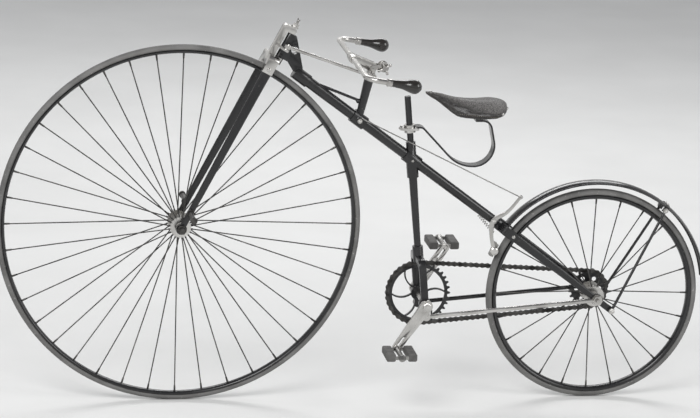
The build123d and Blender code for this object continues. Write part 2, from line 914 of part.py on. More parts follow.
def rear_leg():
    """The left leg: a tapering blade, an eye on the axle and a tail lug for the guard's stay."""
    sections = [
        # reach from the axle, half spread, height
        (leg_cheek - seat, leg_top_half_width, leg_top_height),
        (0.0, frame_half_width, leg_bottom_height),
    ]
    faces = []
    for reach, spread, height in sections:
        plane = Plane(
            origin=on(backbone, 0, -spread, reach), x_dir=backbone.x_dir, z_dir=backbone.y_dir
        )
        faces.append(plane * SlotOverall(height, leg_thickness))
    blade = loft(faces, ruled=True)
    low = -frame_half_width - leg_thickness / 2
    high = -frame_half_width + leg_thickness / 2
    eye = plate(backbone, Circle(leg_eye_radius), low, high)
    tail_face = bar_outline((0, 0), (0, -leg_tail), leg_bottom_height / 2, leg_tail_radius)
    tail = plate(backbone, tail_face, low, high)
    bore = plate(backbone, Circle(rear_axle_radius + seat), low - leg_eye_radius, high + leg_eye_radius)
    return blade + eye + tail - bore


nodes["rear_fork_left"] = rear_leg()
nodes["rear_fork_right"] = mirrored(nodes["rear_fork_left"])


# Mudguard: a crowned strip round the rear tyre, with a clip and two stays from the fork tails
def ring_strip(inner, outer, half, rise, from_angle, to_angle):
    """A strip of crowned section swept round the rear axle between two angles."""
    upper = ThreePointArc((outer - rise, -half), (outer, 0), (outer - rise, half))
    lower = ThreePointArc((inner - rise, -half), (inner, 0), (inner - rise, half))
    ends = [Line(upper @ 0, lower @ 0), Line(upper @ 1, lower @ 1)]
    face = make_face([upper.edge(), lower.edge(), ends[0].edge(), ends[1].edge()])
    turned = face.rotate(Axis.Y, -from_angle)
    return revolve(turned, Axis.Y, from_angle - to_angle).moved(Location(rear_hub))


guard_outer = guard_radius + guard_thickness
clip_half_angle = degrees(guard_clip_width / 2 / guard_outer)
clip_y = guard_width / 2 + gap
clip_foot = guard_radius - guard_rise - guard_clip_depth


def mudguard():
    strip = ring_strip(
        guard_radius, guard_outer, guard_width / 2, guard_rise, guard_front_angle, guard_rear_angle
    )
    band = ring_strip(
        guard_radius + guard_thickness / 2,
        guard_outer + guard_clip_plate,
        clip_y + guard_clip_plate,
        guard_rise,
        guard_clip_angle + clip_half_angle,
        guard_clip_angle - clip_half_angle,
    )
    body = strip + band
    clip_frame = side_frame(rear_hub, 90 - guard_clip_angle)
    ear_length = guard_outer - guard_rise - clip_foot
    ear = Pos(0, clip_foot + ear_length / 2) * Rectangle(guard_clip_width, ear_length)
    for sign in (-1, 1):
        low, high = sorted((sign * clip_y, sign * (clip_y + guard_clip_plate)))
        body += plate(clip_frame, ear, low, high)
    return body


nodes["mudguard"] = mudguard()


def guard_stay():
    """The left stay: a rod with a flat eye at the fork tail and another at the guard's ear."""
    foot_y = -frame_half_width - leg_thickness / 2 - seat
    ear_y = -clip_y - guard_clip_plate - seat
    foot = on(backbone, 0, foot_y - guard_stay_radius, -leg_tail)
    ear = polar(rear_hub, clip_foot + guard_clip_depth / 2, guard_clip_angle, ear_y - guard_stay_radius)
    bar = rod(foot - side_y * guard_stay_set, ear, guard_stay_radius)
    half = side_y * guard_stay_radius
    foot_eye = rod(foot + half, foot - half, guard_stay_foot_eye)
    ear_eye = rod(ear + half, ear - half, guard_stay_ear_eye)
    return bar + foot_eye + ear_eye


left_stay = guard_stay()
nodes["mudguard_stays"] = Compound(children=[left_stay, mirrored(left_stay)])

# Saddle: leather with hanging flaps over a steel plate, on a flat spring bent back from the seat post
saddle_point = on(post, 0, 0, post_top) + Vector(saddle_back, 0, saddle_rise)
saddle_sections = [
    # behind the rider's point, height of the top, half width, height of the flaps' edge
    (-124.0, 24.0, 9.0, 12.0),
    (-89.0, 17.0, 22.0, -6.0),
    (-41.0, 4.0, 44.0, -45.0),
    (15.0, -2.0, 70.0, -45.0),
    (68.0, -6.0, 88.0, -45.0),
    (109.0, -18.0, 62.0, -36.0),
]


def saddle_pocket(inset, low, high):
    """The hollow under the leather, or what fills it when an inset is given."""
    front = saddle_pocket_front + inset
    rear = saddle_pocket_rear - inset
    front_half = saddle_pocket_front_half - inset
    rear_half = saddle_pocket_rear_half - inset
    corners = [(front, -front_half), (rear, -rear_half), (rear, rear_half), (front, front_half)]
    face = make_face(Polyline(*corners, close=True))
    return extrude(face.moved(Location((0, 0, low))), high - low)


def saddle():
    """Crowned sections from the narrow raised nose to the broad rear, hollowed from below."""
    faces = []
    for back, top, half, edge in saddle_sections:
        shoulder = edge + (top - edge) * saddle_flap_share
        crown = ThreePointArc((half, shoulder), (0, top), (-half, shoulder))
        flaps = Polyline((-half, shoulder), (-half, edge), (half, edge), (half, shoulder))
        plane = Plane(origin=(back, 0, 0), x_dir=(0, 1, 0), z_dir=(1, 0, 0))
        faces.append(plane * make_face([crown.edge(), *flaps.edges()]))
    body = loft(faces, ruled=True) - saddle_pocket(0.0, -2 * spring_end_drop, -saddle_roof)
    return body.moved(Location(saddle_point))


nodes["saddle"] = saddle()


def saddle_frame():
    """Steel plate under the leather with a block that stands on the spring's end."""
    plate_low = -saddle_roof - seat - saddle_plate_thickness
    body = saddle_pocket(saddle_plate_inset, plate_low, -saddle_roof - seat)
    block_low = -spring_end_drop + spring_thickness / 2 + seat
    rise = plate_low - block_low
    middle = (saddle_block_front + saddle_block_length / 2, 0, block_low + rise / 2)
    body += Pos(*middle) * Box(saddle_block_length, spring_width, rise)
    return body.moved(Location(saddle_point))


nodes["saddle_frame"] = saddle_frame()

clamp_up = post_top - clamp_below
clamp_point = on(post, 0, 0, clamp_up)
clamp_plate_top = clamp_point.Z + clamp_plate_thickness / 2
clamp_space = rod(
    on(post, 0, 0, clamp_up - 2 * clamp_thickness),
    on(post, 0, 0, clamp_up + 2 * clamp_thickness),
    seat_post_radius + seat,
)


def saddle_clamp():
    """Collar on the seat post with a flat plate behind it for the spring."""
    collar = rod(
        on(post, 0, 0, clamp_up - clamp_thickness / 2),
        on(post, 0, 0, clamp_up + clamp_thickness / 2),
        clamp_radius,
    )
    length = clamp_plate_front + clamp_plate_rear
    middle = clamp_point.X + (clamp_plate_rear - clamp_plate_front) / 2
    table = Pos(middle, 0, clamp_point.Z) * Box(
        length, spring_width + 2 * clamp_plate_margin, clamp_plate_thickness
    )
    return collar + table - clamp_space


nodes["saddle_clamp"] = saddle_clamp()


def saddle_spring():
    """A flat strip bent down behind the post and looped up under the saddle's rear."""
    level = clamp_plate_top + seat + spring_thickness / 2
    corners = [
        Vector(clamp_point.X + clamp_radius + spring_thickness / 2, 0, level),
        Vector(clamp_point.X + clamp_plate_rear + spring_bend_run, 0, level),
        saddle_point + Vector(spring_low_front, 0, -spring_low_drop),
        saddle_point + Vector(spring_low_rear, 0, -spring_low_drop),
        saddle_point + Vector(spring_end_back, 0, -spring_end_drop),
        saddle_point + Vector(saddle_block_front, 0, -spring_end_drop),
    ]
    bends = [spring_clamp_bend, spring_front_bend, spring_rear_bend, spring_end_bend]
    path = FilletPolyline(*corners, radius=bends)
    plane = Plane(origin=path @ 0, z_dir=path % 0, x_dir=(0, 1, 0))
    return sweep(plane * Rectangle(spring_width, spring_thickness), path=path)


nodes["saddle_spring"] = saddle_spring()

# Steering pillar: a collar on the backbone and a tapering barrel braced by a stay rod
pillar = side_frame(backbone_point(pillar_reach), pillar_lean)


def pillar_space(extra):
    """The pillar's own cone, grown by a clearance."""
    return rod(
        on(pillar, 0, 0, 0),
        on(pillar, 0, 0, pillar_height),
        pillar_foot_radius + extra,
        pillar_top_radius + extra,
    )


def steering_pillar():
    collar = rod(
        backbone_point(pillar_reach - pillar_collar_half),
        backbone_point(pillar_reach + pillar_collar_half),
        backbone_radius(pillar_reach) + lug_wall,
    )
    bore = rod(
        on(pillar, 0, 0, pillar_height - pillar_bore_depth),
        on(pillar, 0, 0, pillar_height + gap),
        pillar_bore + running,
    )
    return collar + pillar_space(0.0) - bore - tube_space(seat)


nodes["steering_pillar"] = steering_pillar()
stay_foot = backbone_point(backbone_front_reach - stay_foot_setback)
stay_lug = Sphere(stay_lug_radius).moved(Location(on(pillar, -pillar_top_radius, 0, stay_height)))
stay_bar = rod(stay_foot, on(pillar, 0, 0, stay_height), stay_rod_radius)
nodes["pillar_stay"] = stay_bar + stay_lug - tube_space(seat) - pillar_space(seat)

# Handlebar: a stem turning in the pillar, a bar bent back at both ends and two grips
bar_centre = on(pillar, -bar_forward, 0, pillar_height + bar_above)
bar_corner = {sign: bar_centre + side_y * (sign * bar_half_width) for sign in (-1, 1)}
bar_way = Vector(bar_back, 0, -bar_drop)
bar_direction = bar_way.normalized()
stem_arm_low = pillar_height + stem_arm_height
rod_top = stem_arm_low + arm_thickness + stem_eye_lift + link_eye
stem_eye_up = rod_top + stem_clearance + stem_radius


def handlebar_stem():
    spindle = rod(
        on(pillar, 0, 0, pillar_height - pillar_bore_depth + gap),
        on(pillar, 0, 0, stem_eye_up),
        pillar_bore,
    )
    outline = bar_outline(
        (0, stem_eye_up), (-bar_forward, pillar_height + bar_above), stem_radius, bar_radius + lug_wall
    )
    block = plate(pillar, outline, -stem_width / 2, stem_width / 2)
    reach = side_y * stem_width
    clamp = rod(bar_centre - reach, bar_centre + reach, bar_radius + stem_clamp_wall)
    hole = rod(bar_centre - reach * 2, bar_centre + reach * 2, bar_radius + seat)
    neck_part = rod(on(pillar, 0, 0, stem_arm_low), on(pillar, 0, 0, stem_eye_up), stem_neck_radius)
    arm = link_arm(pillar, 0, stem_arm_low, 0, 0, stem_eye_lift, link_pin_tilt)
    return block + clamp + neck_part + spindle + arm - hole


nodes["handlebar_stem"] = handlebar_stem()


def handlebar():
    corners = [bar_corner[-1] + bar_way, bar_corner[-1], bar_corner[1], bar_corner[1] + bar_way]
    path = FilletPolyline(*corners, radius=bar_bend_radius)
    section = Plane(origin=path @ 0, z_dir=path % 0) * Circle(bar_radius)
    return sweep(section, path=path)


nodes["handlebar"] = handlebar()


grip_profile = [
    # share of the length, share of the swelling from neck to bulb
    (0.0, 0.0),
    (0.25, -0.02),
    (0.45, 0.2),
    (0.6, 0.62),
    (0.72, 0.93),
    (0.8, 1.0),
    (0.88, 0.86),
    (0.95, 0.37),
    (1.0, -0.5),
]


def grip(sign):
    """A pear-shaped handle with a blind bore for the bar's end."""
    end = bar_corner[sign] + bar_way
    start = end - bar_direction * grip_bore_depth
    swell = grip_bulb_radius - grip_neck_radius
    outline = [(grip_neck_radius + swell * bulge, grip_length * share) for share, bulge in grip_profile]
    body = lathe(Vector(0, 0, 0), outline)
    body = body.moved(Plane(origin=start, x_dir=side_y, z_dir=side_y.cross(bar_direction)).location)
    return body - rod(start - bar_direction, end + bar_direction * gap, bar_radius + seat)


nodes["grip_left"] = grip(-1)
nodes["grip_right"] = grip(1)


def brake_winder():
    """Cord drum on a cross spindle with two thumb knobs, held by cheeks on the stem."""
    centre = on(pillar, winder_back, 0, pillar_height + winder_above)
    half = winder_half
    drum = half - winder_flange
    cheek_inner = stem_width / 2 + seat
    cheek_outer = cheek_inner + winder_cheek
    knob = cheek_outer + winder_knob_reach
    neck = knob - winder_knob_length
    outline = [
        (winder_knob_radius, -knob),
        (winder_knob_radius, -neck),
        (winder_pin_radius, -neck + winder_knob_taper),
        (winder_pin_radius, -half),
        (winder_flange_radius, -half),
        (winder_flange_radius, -drum),
        (winder_radius, -drum),
        (winder_radius, drum),
        (winder_flange_radius, drum),
        (winder_flange_radius, half),
        (winder_pin_radius, half),
        (winder_pin_radius, neck - winder_knob_taper),
        (winder_knob_radius, neck),
        (winder_knob_radius, knob),
    ]
    body = lathe(centre, outline)
    cross = centre + side_y * (winder_knob_radius / 2 - knob)
    for index in range(winder_arms):
        tip = polar(cross, winder_arm_reach, winder_arm_phase + 360.0 * index / winder_arms, cross.Y)
        body += rod(cross, tip, winder_arm_radius)
        body += Sphere(winder_ball_radius).moved(Location(tip))
    drum_place = (winder_back, pillar_height + winder_above)
    cheek = bar_outline((0, stem_eye_up), drum_place, winder_root, winder_root)
    for low, high in ((cheek_inner, cheek_outer), (-cheek_outer, -cheek_inner)):
        body += plate(pillar, cheek, low, high)
    return body


nodes["brake_winder"] = brake_winder()


# Steering rod: turns on the stem's pin, and its front eye rides on the head's pin with clearance
rear_eye = on(pillar, 0, -arm_length, stem_arm_low + arm_thickness + stem_eye_lift + link_eye / 2)
head_eye_up = crown_top + head_arm_height + head_eye_lift + link_eye / 2
front_eye = on(fork, steering_offset, -arm_length, head_eye_up)


def steering_rod():
    body = rod(rear_eye, front_eye, link_rod_radius)
    eyes = [
        # middle, direction, bore
        (rear_eye, link_way(pillar, link_pin_tilt), link_pin_radius + running),
        (front_eye, link_way(fork, 0.0), link_pin_radius + link_open_clearance),
    ]
    for middle, way, bore in eyes:
        body += rod(middle - way * (link_eye / 2), middle + way * (link_eye / 2), arm_eye_radius)
    for middle, way, bore in eyes:
        body -= rod(middle - way * link_eye, middle + way * link_eye, bore)
    return body


nodes["steering_rod"] = steering_rod()

# Chain drive: toothed wheels and one chain loop, drawn link by link round both of them
chain_run = rear_hub - crank_centre
chain_distance = hypot(chain_run.X, chain_run.Z)
chain_lean = degrees(atan2(chain_run.Z, chain_run.X))
chain_wrap = degrees(asin((chainwheel_radius - sprocket_radius) / chain_distance))
straight = sqrt(chain_distance**2 - (chainwheel_radius - sprocket_radius) ** 2)
upper_angle = chain_lean + 90 - chain_wrap
lower_angle = chain_lean - 90 + chain_wrap


def tooth_lead(radius):
    """How far along a straight run the wheel's teeth still reach into the chain."""
    reach = radius + tooth_tip
    clear = radius - link_high - tooth_margin
    return ceil(sqrt(reach**2 - clear**2) / chain_pitch) * chain_pitch


front_lead = tooth_lead(chainwheel_radius)
rear_lead = tooth_lead(sprocket_radius)


def run_point(side_angle, along, rise):
    """A point on a straight run, measured from the chainwheel's tangent point."""
    start = polar(crank_centre, chainwheel_radius + rise, side_angle)
    heading = side_angle - 90 if side_angle == upper_angle else side_angle + 90
    return (start.X + along * cos(radians(heading)), start.Z + along * sin(radians(heading)))


def scallop(index):
    """Half the height of a link, large at its pins and small at its waist."""
    return link_high if index % 2 == 0 else link_low


def chain_straight(side_angle):
    """The solid links of one straight run between the two toothed stretches."""
    length = straight - front_lead - rear_lead
    steps = 2 * round(length / chain_pitch)
    marks = [front_lead + length * index / steps for index in range(steps + 1)]
    outer = [run_point(side_angle, mark, scallop(index)) for index, mark in enumerate(marks)]
    inner = [run_point(side_angle, mark, -scallop(index)) for index, mark in enumerate(marks)]
    face = make_face(Polyline(*outer, *reversed(inner), close=True))
    return plate(ground_frame, face, chain_y - chain_width / 2, chain_y + chain_width / 2)


def chain_bend(centre, radius, lead, first_angle, last_angle, direction):
    """Two rows of side plates round a toothed wheel, with a straight lead at each end."""
    sweep_angle = (last_angle - first_angle) * direction
    steps = 2 * round(radians(sweep_angle) * radius / chain_pitch)
    lead_steps = 2 * round(lead / chain_pitch)
    outline = {1: [], -1: []}
    for index in range(-lead_steps, steps + lead_steps + 1):
        share = min(max(index, 0), steps) / steps
        angle = first_angle + direction * sweep_angle * share
        beyond = min(index, 0) + max(index - steps, 0)
        along = direction * beyond * lead / lead_steps
        for sign in (1, -1):
            base = polar(centre, radius + sign * scallop(index), angle)
            heading = radians(angle + 90)
            outline[sign].append((base.X + along * cos(heading), base.Z + along * sin(heading)))
    face = make_face(Polyline(*outline[1], *reversed(outline[-1]), close=True))
    low = chain_y - chain_width / 2
    high = chain_y + chain_width / 2
    left_row = plate(ground_frame, face, low, low + chain_plate)
    right_row = plate(ground_frame, face, high - chain_plate, high)
    return Compound(children=[left_row, right_row])


nodes["chain_upper_run"] = chain_straight(upper_angle)
nodes["chain_lower_run"] = chain_straight(lower_angle)
nodes["chain_front_bend"] = chain_bend(
    crank_centre, chainwheel_radius, front_lead, upper_angle, lower_angle + 360, 1
)
nodes["chain_rear_bend"] = chain_bend(rear_hub, sprocket_radius, rear_lead, lower_angle, upper_angle, 1)


def toothed_disc(radius, teeth):
    """A flat disc whose edge is cut into teeth, as a sketch about the origin."""
    step = 360.0 / teeth
    flanks = [
        # share of the tooth's step, reach beyond the pitch circle
        (-tooth_root_share, -tooth_depth),
        (-tooth_tip_share, tooth_tip),
        (tooth_tip_share, tooth_tip),
        (tooth_root_share, -tooth_depth),
    ]
    corners = []
    for index in range(teeth):
        middle = step * index
        for offset, reach in flanks:
            angle = radians(middle + offset * step)
            corners.append(((radius + reach) * cos(angle), (radius + reach) * sin(angle)))
    return make_face(Polyline(*corners, close=True))


def chainwheel():
    """A toothed ring on curved arms."""
    ring_inner = chainwheel_radius - tooth_depth - chainwheel_ring
    frame = side_frame(crank_centre, 0)
    half = tooth_thickness / 2
    ring_face = toothed_disc(chainwheel_radius, chainwheel_teeth) - Circle(ring_inner)
    ring = plate(frame, ring_face, chain_y - half, chain_y + half)
    start = chainwheel_boss - chainwheel_arm_root
    end = ring_inner + chainwheel_ring / 2
    bow = ThreePointArc((start, 0), ((start + end) / 2, chainwheel_arm_bow), (end, 0))
    section = Plane(origin=bow @ 0, z_dir=bow % 0) * Rectangle(tooth_thickness, chainwheel_arm_width)
    arm = sweep(section, path=bow)
    boss_half = half + chainwheel_boss_step
    body = ring + plate(frame, Circle(chainwheel_boss), chain_y - boss_half, chain_y + boss_half)
    for index in range(chainwheel_arms):
        turned = Rot(0, 0, 360.0 * index / chainwheel_arms) * arm
        body += turned.moved(frame.offset(-chain_y).location)
    return body - plate(frame, Circle(crank_axle_radius + seat), 0, 2 * chain_y)


nodes["chainwheel"] = chainwheel()


def rear_sprocket():
    """A drilled toothed disc with a collar against the hub's right flange."""
    frame = side_frame(rear_hub, 0)
    half = tooth_thickness / 2
    shape = toothed_disc(sprocket_radius, sprocket_teeth) - Circle(hub_end_radius + seat)
    for index in range(sprocket_holes):
        angle = radians(360.0 * index / sprocket_holes)
        reach = (sprocket_radius + hub_end_radius) / 2
        shape -= Pos(reach * cos(angle), reach * sin(angle)) * Circle(sprocket_hole_radius)
    body = plate(frame, shape, chain_y - half, chain_y + half)
    collar = Circle(hub_end_radius + sprocket_collar) - Circle(hub_end_radius + seat)
    low = rear_flange_right_y + flange_thickness / 2 + seat
    return body + plate(frame, collar, low, chain_y + half + sprocket_collar_step)


nodes["rear_sprocket"] = rear_sprocket()

# Cranks: the axle turns in the yoke, and the slotted cranks point opposite ways
crank_frame = side_frame(crank_centre, 90 - crank_angle)
crank_outer_y = crank_inner_y + crank_thickness
axle_shoulder = frame_half_width + yoke_leg_thickness / 2 + yoke_boss_stand


def crank_axle():
    collar = crank_axle_radius + crank_axle_step
    end = crank_outer_y + crank_axle_end
    outline = [
        (crank_axle_radius, -end),
        (crank_axle_radius, -crank_inner_y + seat),
        (collar, -crank_inner_y + seat),
        (collar, -axle_shoulder - gap),
        (crank_axle_radius, -axle_shoulder - gap),
        (crank_axle_radius, axle_shoulder + gap),
        (collar, axle_shoulder + gap),
        (collar, crank_inner_y - seat),
        (crank_axle_radius, crank_inner_y - seat),
        (crank_axle_radius, end),
    ]
    return lathe(crank_centre, outline)


nodes["crank_axle"] = crank_axle()
pedal_low = crank_outer_y + pedal_gap
pedal_high = pedal_low + pedal_length + 2 * pedal_plate


def crank(sign):
    """A tapering arm with an adjusting slot, and the pedal pin bolted through it."""
    reach = sign * -crank_length
    slot_middle = reach + sign * crank_slot_back
    outline = bar_outline((0, 0), (0, reach), crank_boss_radius, crank_end_radius)
    outline -= Circle(crank_axle_radius + seat)
    outline -= Pos(0, slot_middle) * Rot(0, 0, 90) * SlotOverall(crank_slot_length, crank_slot_width)
    low, high = sorted((sign * crank_inner_y, sign * crank_outer_y))
    body = plate(crank_frame, outline, low, high)
    place = Pos(0, reach)
    low, high = sorted((sign * (crank_inner_y + crank_pin_seat), sign * (pedal_high + pedal_pin_end)))
    body += plate(crank_frame, place * Circle(pedal_pin_radius), low, high)
    low, high = sorted((sign * (crank_outer_y - crank_pin_seat), sign * (pedal_low - gap)))
    return body + plate(crank_frame, place * Circle(pedal_pin_radius + pedal_shoulder_step), low, high)


def pedal(sign):
    """Two end plates on a barrel, closed by a pointed cap, with two rubber blocks between them."""
    centre = on(crank_frame, 0, 0, sign * -crank_length)
    frame = side_frame(centre, 0)
    inner = pedal_low + pedal_plate
    outer = inner + pedal_length
    round_end = pedal_block_height / 2
    end_plate = bar_outline((-pedal_block_spacing, 0), (pedal_block_spacing, 0), round_end, round_end)
    low, high = sorted((sign * pedal_low, sign * pedal_high))
    body = plate(frame, Circle(pedal_barrel_radius), low, high)
    for start, stop in ((pedal_low, inner), (outer, pedal_high)):
        low, high = sorted((sign * start, sign * stop))
        body += plate(frame, end_plate, low, high)
    cap_base = centre + side_y * (sign * pedal_high)
    cap_end = cap_base + side_y * (sign * pedal_cap_length)
    body += rod(cap_base, cap_end, pedal_barrel_radius + pedal_cap_step, pedal_cap_tip)
    bore_end = pedal_high + pedal_pin_end + pedal_pin_room
    low, high = sorted((sign * (pedal_low - pedal_pin_room), sign * bore_end))
    body -= plate(frame, Circle(pedal_pin_radius + running), low, high)
    blocks = []
    for side in (-1, 1):
        block = RectangleRounded(pedal_block_width, pedal_block_height, pedal_block_round)
        shape = Pos(side * pedal_block_spacing, 0) * block
        low, high = sorted((sign * (inner + seat), sign * (outer - seat)))
        blocks.append(plate(frame, shape, low, high))
    return body, Compound(children=blocks)


for side_name, sign in (("left", -1), ("right", 1)):
    nodes[f"crank_{side_name}"] = crank(sign)
    frame_piece, rubber_piece = pedal(sign)
    nodes[f"pedal_{side_name}"] = frame_piece
    nodes[f"pedal_{side_name}_rubbers"] = rubber_piece

# Rear brake: a bell-crank on the backbone that would press a curved shoe on the tyre
pivot_point = backbone_point(brake_pivot_reach)
shoe_inner = rear_wheel_radius + brake_shoe_clearance
shoe_reach = shoe_inner + brake_shoe_thickness / 2
shoe_point = polar(rear_hub, shoe_reach, brake_shoe_angle)
tip_point = polar(rear_hub, brake_tip_reach, brake_tip_angle)
lever_low = -brake_lever_y - brake_lever_thickness
lever_high = -brake_lever_y


def brake_lever():
    """Two flat arms on one pivot boss at the left of the backbone."""
    half = brake_lever_width / 2
    pivot = (pivot_point.X, pivot_point.Z)
    upper = bar_outline(pivot, (tip_point.X, tip_point.Z), half + brake_pivot_step, half - brake_tip_step)
    lower = bar_outline(pivot, (shoe_point.X, shoe_point.Z), half + brake_pivot_step, half)
    body = plate(ground_frame, upper + lower, lever_low, lever_high)
    wall = -backbone_radius(brake_pivot_reach) - gap
    body += rod(pivot_point + side_y * lever_high, pivot_point + side_y * wall, half + brake_boss_step)
    return body


nodes["brake_lever"] = brake_lever()


def brake_shoe():
    """A spoon that follows the tyre, on a cross stud from the lever's lower arm."""
    half = brake_shoe_width / 2
    spoon = ring_strip(
        shoe_inner,
        shoe_inner + brake_shoe_thickness,
        half,
        brake_shoe_crown,
        brake_shoe_angle + brake_shoe_span / 2,
        brake_shoe_angle - brake_shoe_span / 2,
    )
    stud = rod(shoe_point, shoe_point + side_y * (lever_high + seat), brake_shoe_thickness / 2)
    return spoon + stud


nodes["brake_shoe"] = brake_shoe()

pulley_point = on(pillar, 0, 0, 0)
pulley_y = -backbone_radius(pillar_reach) - lug_wall - gap


def brake_pulley():
    """A grooved cord pulley on a stud at the left of the pillar's collar."""
    far = pulley_y - brake_pulley_width
    groove = brake_pulley_radius - brake_pulley_groove
    outline = [
        (brake_pulley_radius, far),
        (groove, far + brake_pulley_edge),
        (groove, pulley_y - brake_pulley_edge),
        (brake_pulley_radius, pulley_y),
    ]
    return lathe(Vector(pulley_point.X, 0, pulley_point.Z), outline)


nodes["brake_pulley"] = brake_pulley()
rod_way = (tip_point - pulley_point).normalized()
rod_rise = brake_pulley_radius - brake_pulley_groove + brake_rod_radius + gap
rod_offset = Vector(-rod_way.Z, 0, rod_way.X) * rod_rise
rod_start = pulley_point + rod_offset + side_y * (pulley_y - brake_pulley_width / 2)
rod_end = tip_point + side_y * (lever_low - brake_rod_radius - seat)
nodes["brake_rod"] = rod(rod_start, rod_end, brake_rod_radius)


def brake_spring():
    """Return spring from under the backbone to the lever's lower arm, as its outer shape."""
    reach = brake_pivot_reach + brake_spring_ahead
    top = on(backbone, -backbone_radius(reach) - brake_spring_hook, 0, reach)
    foot = pivot_point + (shoe_point - pivot_point) * brake_spring_share
    foot += side_y * (lever_high + brake_spring_hook)
    way = (foot - top).normalized()
    coil_start = top + way * brake_spring_end
    coil_end = foot - way * brake_spring_end
    body = rod(coil_start, coil_end, brake_spring_radius)
    body += rod(top, coil_start + way, brake_spring_hook)
    body += rod(coil_end - way, foot, brake_spring_hook)
    return body - tube_space(seat)


nodes["brake_spring"] = brake_spring()

# The part's own origin is the rider's place on the saddle
rider = saddle_point
os.makedirs("parts", exist_ok=True)
for name, shape in nodes.items():
    export_step(shape.moved(Location(rider * -1)), f"parts/{name}.step")
print(len(nodes), "nodes")
for label, place in (
    ("steering axis", on(fork, steering_offset, 0, crown_top)),
    ("handlebar axis", on(pillar, 0, 0, pillar_height)),
    ("rod rear eye", rear_eye),
    ("rod front eye", front_eye),
    ("front axle", front_hub),
    ("rear axle", rear_hub),
    ("crank axle", crank_centre),
    ("left pedal", on(crank_frame, 0, -pedal_low, crank_length)),
    ("right pedal", on(crank_frame, 0, pedal_low, -crank_length)),
):
    print(label, [round(value, 3) for value in tuple(place - rider)])
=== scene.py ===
# %% [markdown]
# # Dressing an early chain-driven bicycle
#
# The solid model of this machine already exists: a big steered wire wheel in front, a small driven one
# behind, and a straight sloping backbone between them. This lesson loads that model as a fixed frame and
# gives it what the eye looks for from a step away: round tyres, straight wire spokes, a pinned chain, a
# leather saddle, horn grips, nuts and rivets, and a finish for every surface.
#
# Everything is in metres. X runs to the rear, Y to the rider's right and Z up, and the origin is the middle
# of the saddle's top.

# %% Load the frame
import json
from math import asin, atan2, cos, pi, radians, sin

import bmesh
import bpy
from mathutils import Matrix, Vector


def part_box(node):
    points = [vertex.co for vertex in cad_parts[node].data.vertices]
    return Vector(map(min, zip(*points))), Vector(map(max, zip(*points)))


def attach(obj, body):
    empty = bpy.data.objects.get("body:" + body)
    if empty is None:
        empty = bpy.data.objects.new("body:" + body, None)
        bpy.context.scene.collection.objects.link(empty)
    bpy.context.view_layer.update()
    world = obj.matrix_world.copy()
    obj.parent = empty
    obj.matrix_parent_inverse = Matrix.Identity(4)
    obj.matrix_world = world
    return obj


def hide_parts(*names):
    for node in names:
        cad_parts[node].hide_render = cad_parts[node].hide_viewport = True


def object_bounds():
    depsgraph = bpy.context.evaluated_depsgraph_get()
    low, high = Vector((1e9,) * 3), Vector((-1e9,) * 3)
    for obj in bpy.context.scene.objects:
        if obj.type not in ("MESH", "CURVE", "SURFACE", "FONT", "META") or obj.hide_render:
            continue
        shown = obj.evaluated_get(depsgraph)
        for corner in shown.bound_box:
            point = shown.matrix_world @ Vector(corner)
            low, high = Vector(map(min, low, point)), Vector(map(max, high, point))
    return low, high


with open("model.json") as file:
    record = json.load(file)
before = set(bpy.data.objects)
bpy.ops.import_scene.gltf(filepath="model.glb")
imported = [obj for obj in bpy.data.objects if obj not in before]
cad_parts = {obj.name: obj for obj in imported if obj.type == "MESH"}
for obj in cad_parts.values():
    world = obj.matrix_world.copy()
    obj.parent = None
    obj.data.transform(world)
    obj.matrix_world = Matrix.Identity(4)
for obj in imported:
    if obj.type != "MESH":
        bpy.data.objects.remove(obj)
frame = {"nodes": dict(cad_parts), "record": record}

nodes = frame["nodes"]
cad_box = [list(corner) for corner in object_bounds()]
print("CAD box", [[round(value, 4) for value in corner] for corner in cad_box])

# %% [markdown]
# ## Where the camera stands
#
# The machine is seen from its left, a little from the front and from above, with almost no perspective. A
# long lens from far away gives that. The camera could be aimed with a constraint, but a matrix built from
# the three view directions is exact and leaves nothing to update.

# %% Camera
view_right = Vector((0.9877, -0.1514, 0.0388)).normalized()
view_forward = Vector((0.1563, 0.9568, -0.2452)).normalized()
view_up = view_right.cross(view_forward).normalized()
view_target = Vector((-0.322, 0.0, -0.319))
view_distance = 10.0
pixels_per_metre = 358.5
image_width = 700

camera_data = bpy.data.cameras.new("photo_camera")
camera_data.sensor_width = 36.0
camera_data.sensor_fit = "HORIZONTAL"
camera_data.lens = camera_data.sensor_width * pixels_per_metre * view_distance / image_width
camera_data.clip_end = 100.0
camera = bpy.data.objects.new("photo_camera", camera_data)
bpy.context.scene.collection.objects.link(camera)
camera.matrix_world = Matrix((
    (view_right.x, view_up.x, -view_forward.x, 0),
    (view_right.y, view_up.y, -view_forward.y, 0),
    (view_right.z, view_up.z, -view_forward.z, 0),
    (0, 0, 0, 1),
))
camera.matrix_world.translation = view_target - view_forward * view_distance
bpy.context.scene.camera = camera
print("camera lens", round(camera_data.lens, 1), "mm")

# %% [markdown]
# ## Floor, lamps and sky
#
# Polished black enamel and nickel show what is around them, so a studio matters more than the number of
# lamps. One broad lamp above and to the left is the main light, a weaker one on the right opens the
# shadows, and a long strip behind draws a bright line down the tubes.

# %% Lamps and floor
ground_z = cad_box[0][2]
floor_radius = 40.0


def area_lamp(name, place, target, width, height, power):
    """A soft rectangular lamp turned towards a point."""
    data = bpy.data.lights.new(name, "AREA")
    data.shape = "RECTANGLE"
    data.size = width
    data.size_y = height
    data.energy = power
    lamp = bpy.data.objects.new(name, data)
    bpy.context.scene.collection.objects.link(lamp)
    lamp.location = place
    lamp.rotation_euler = (Vector(target) - Vector(place)).to_track_quat("-Z", "Y").to_euler()
    return lamp


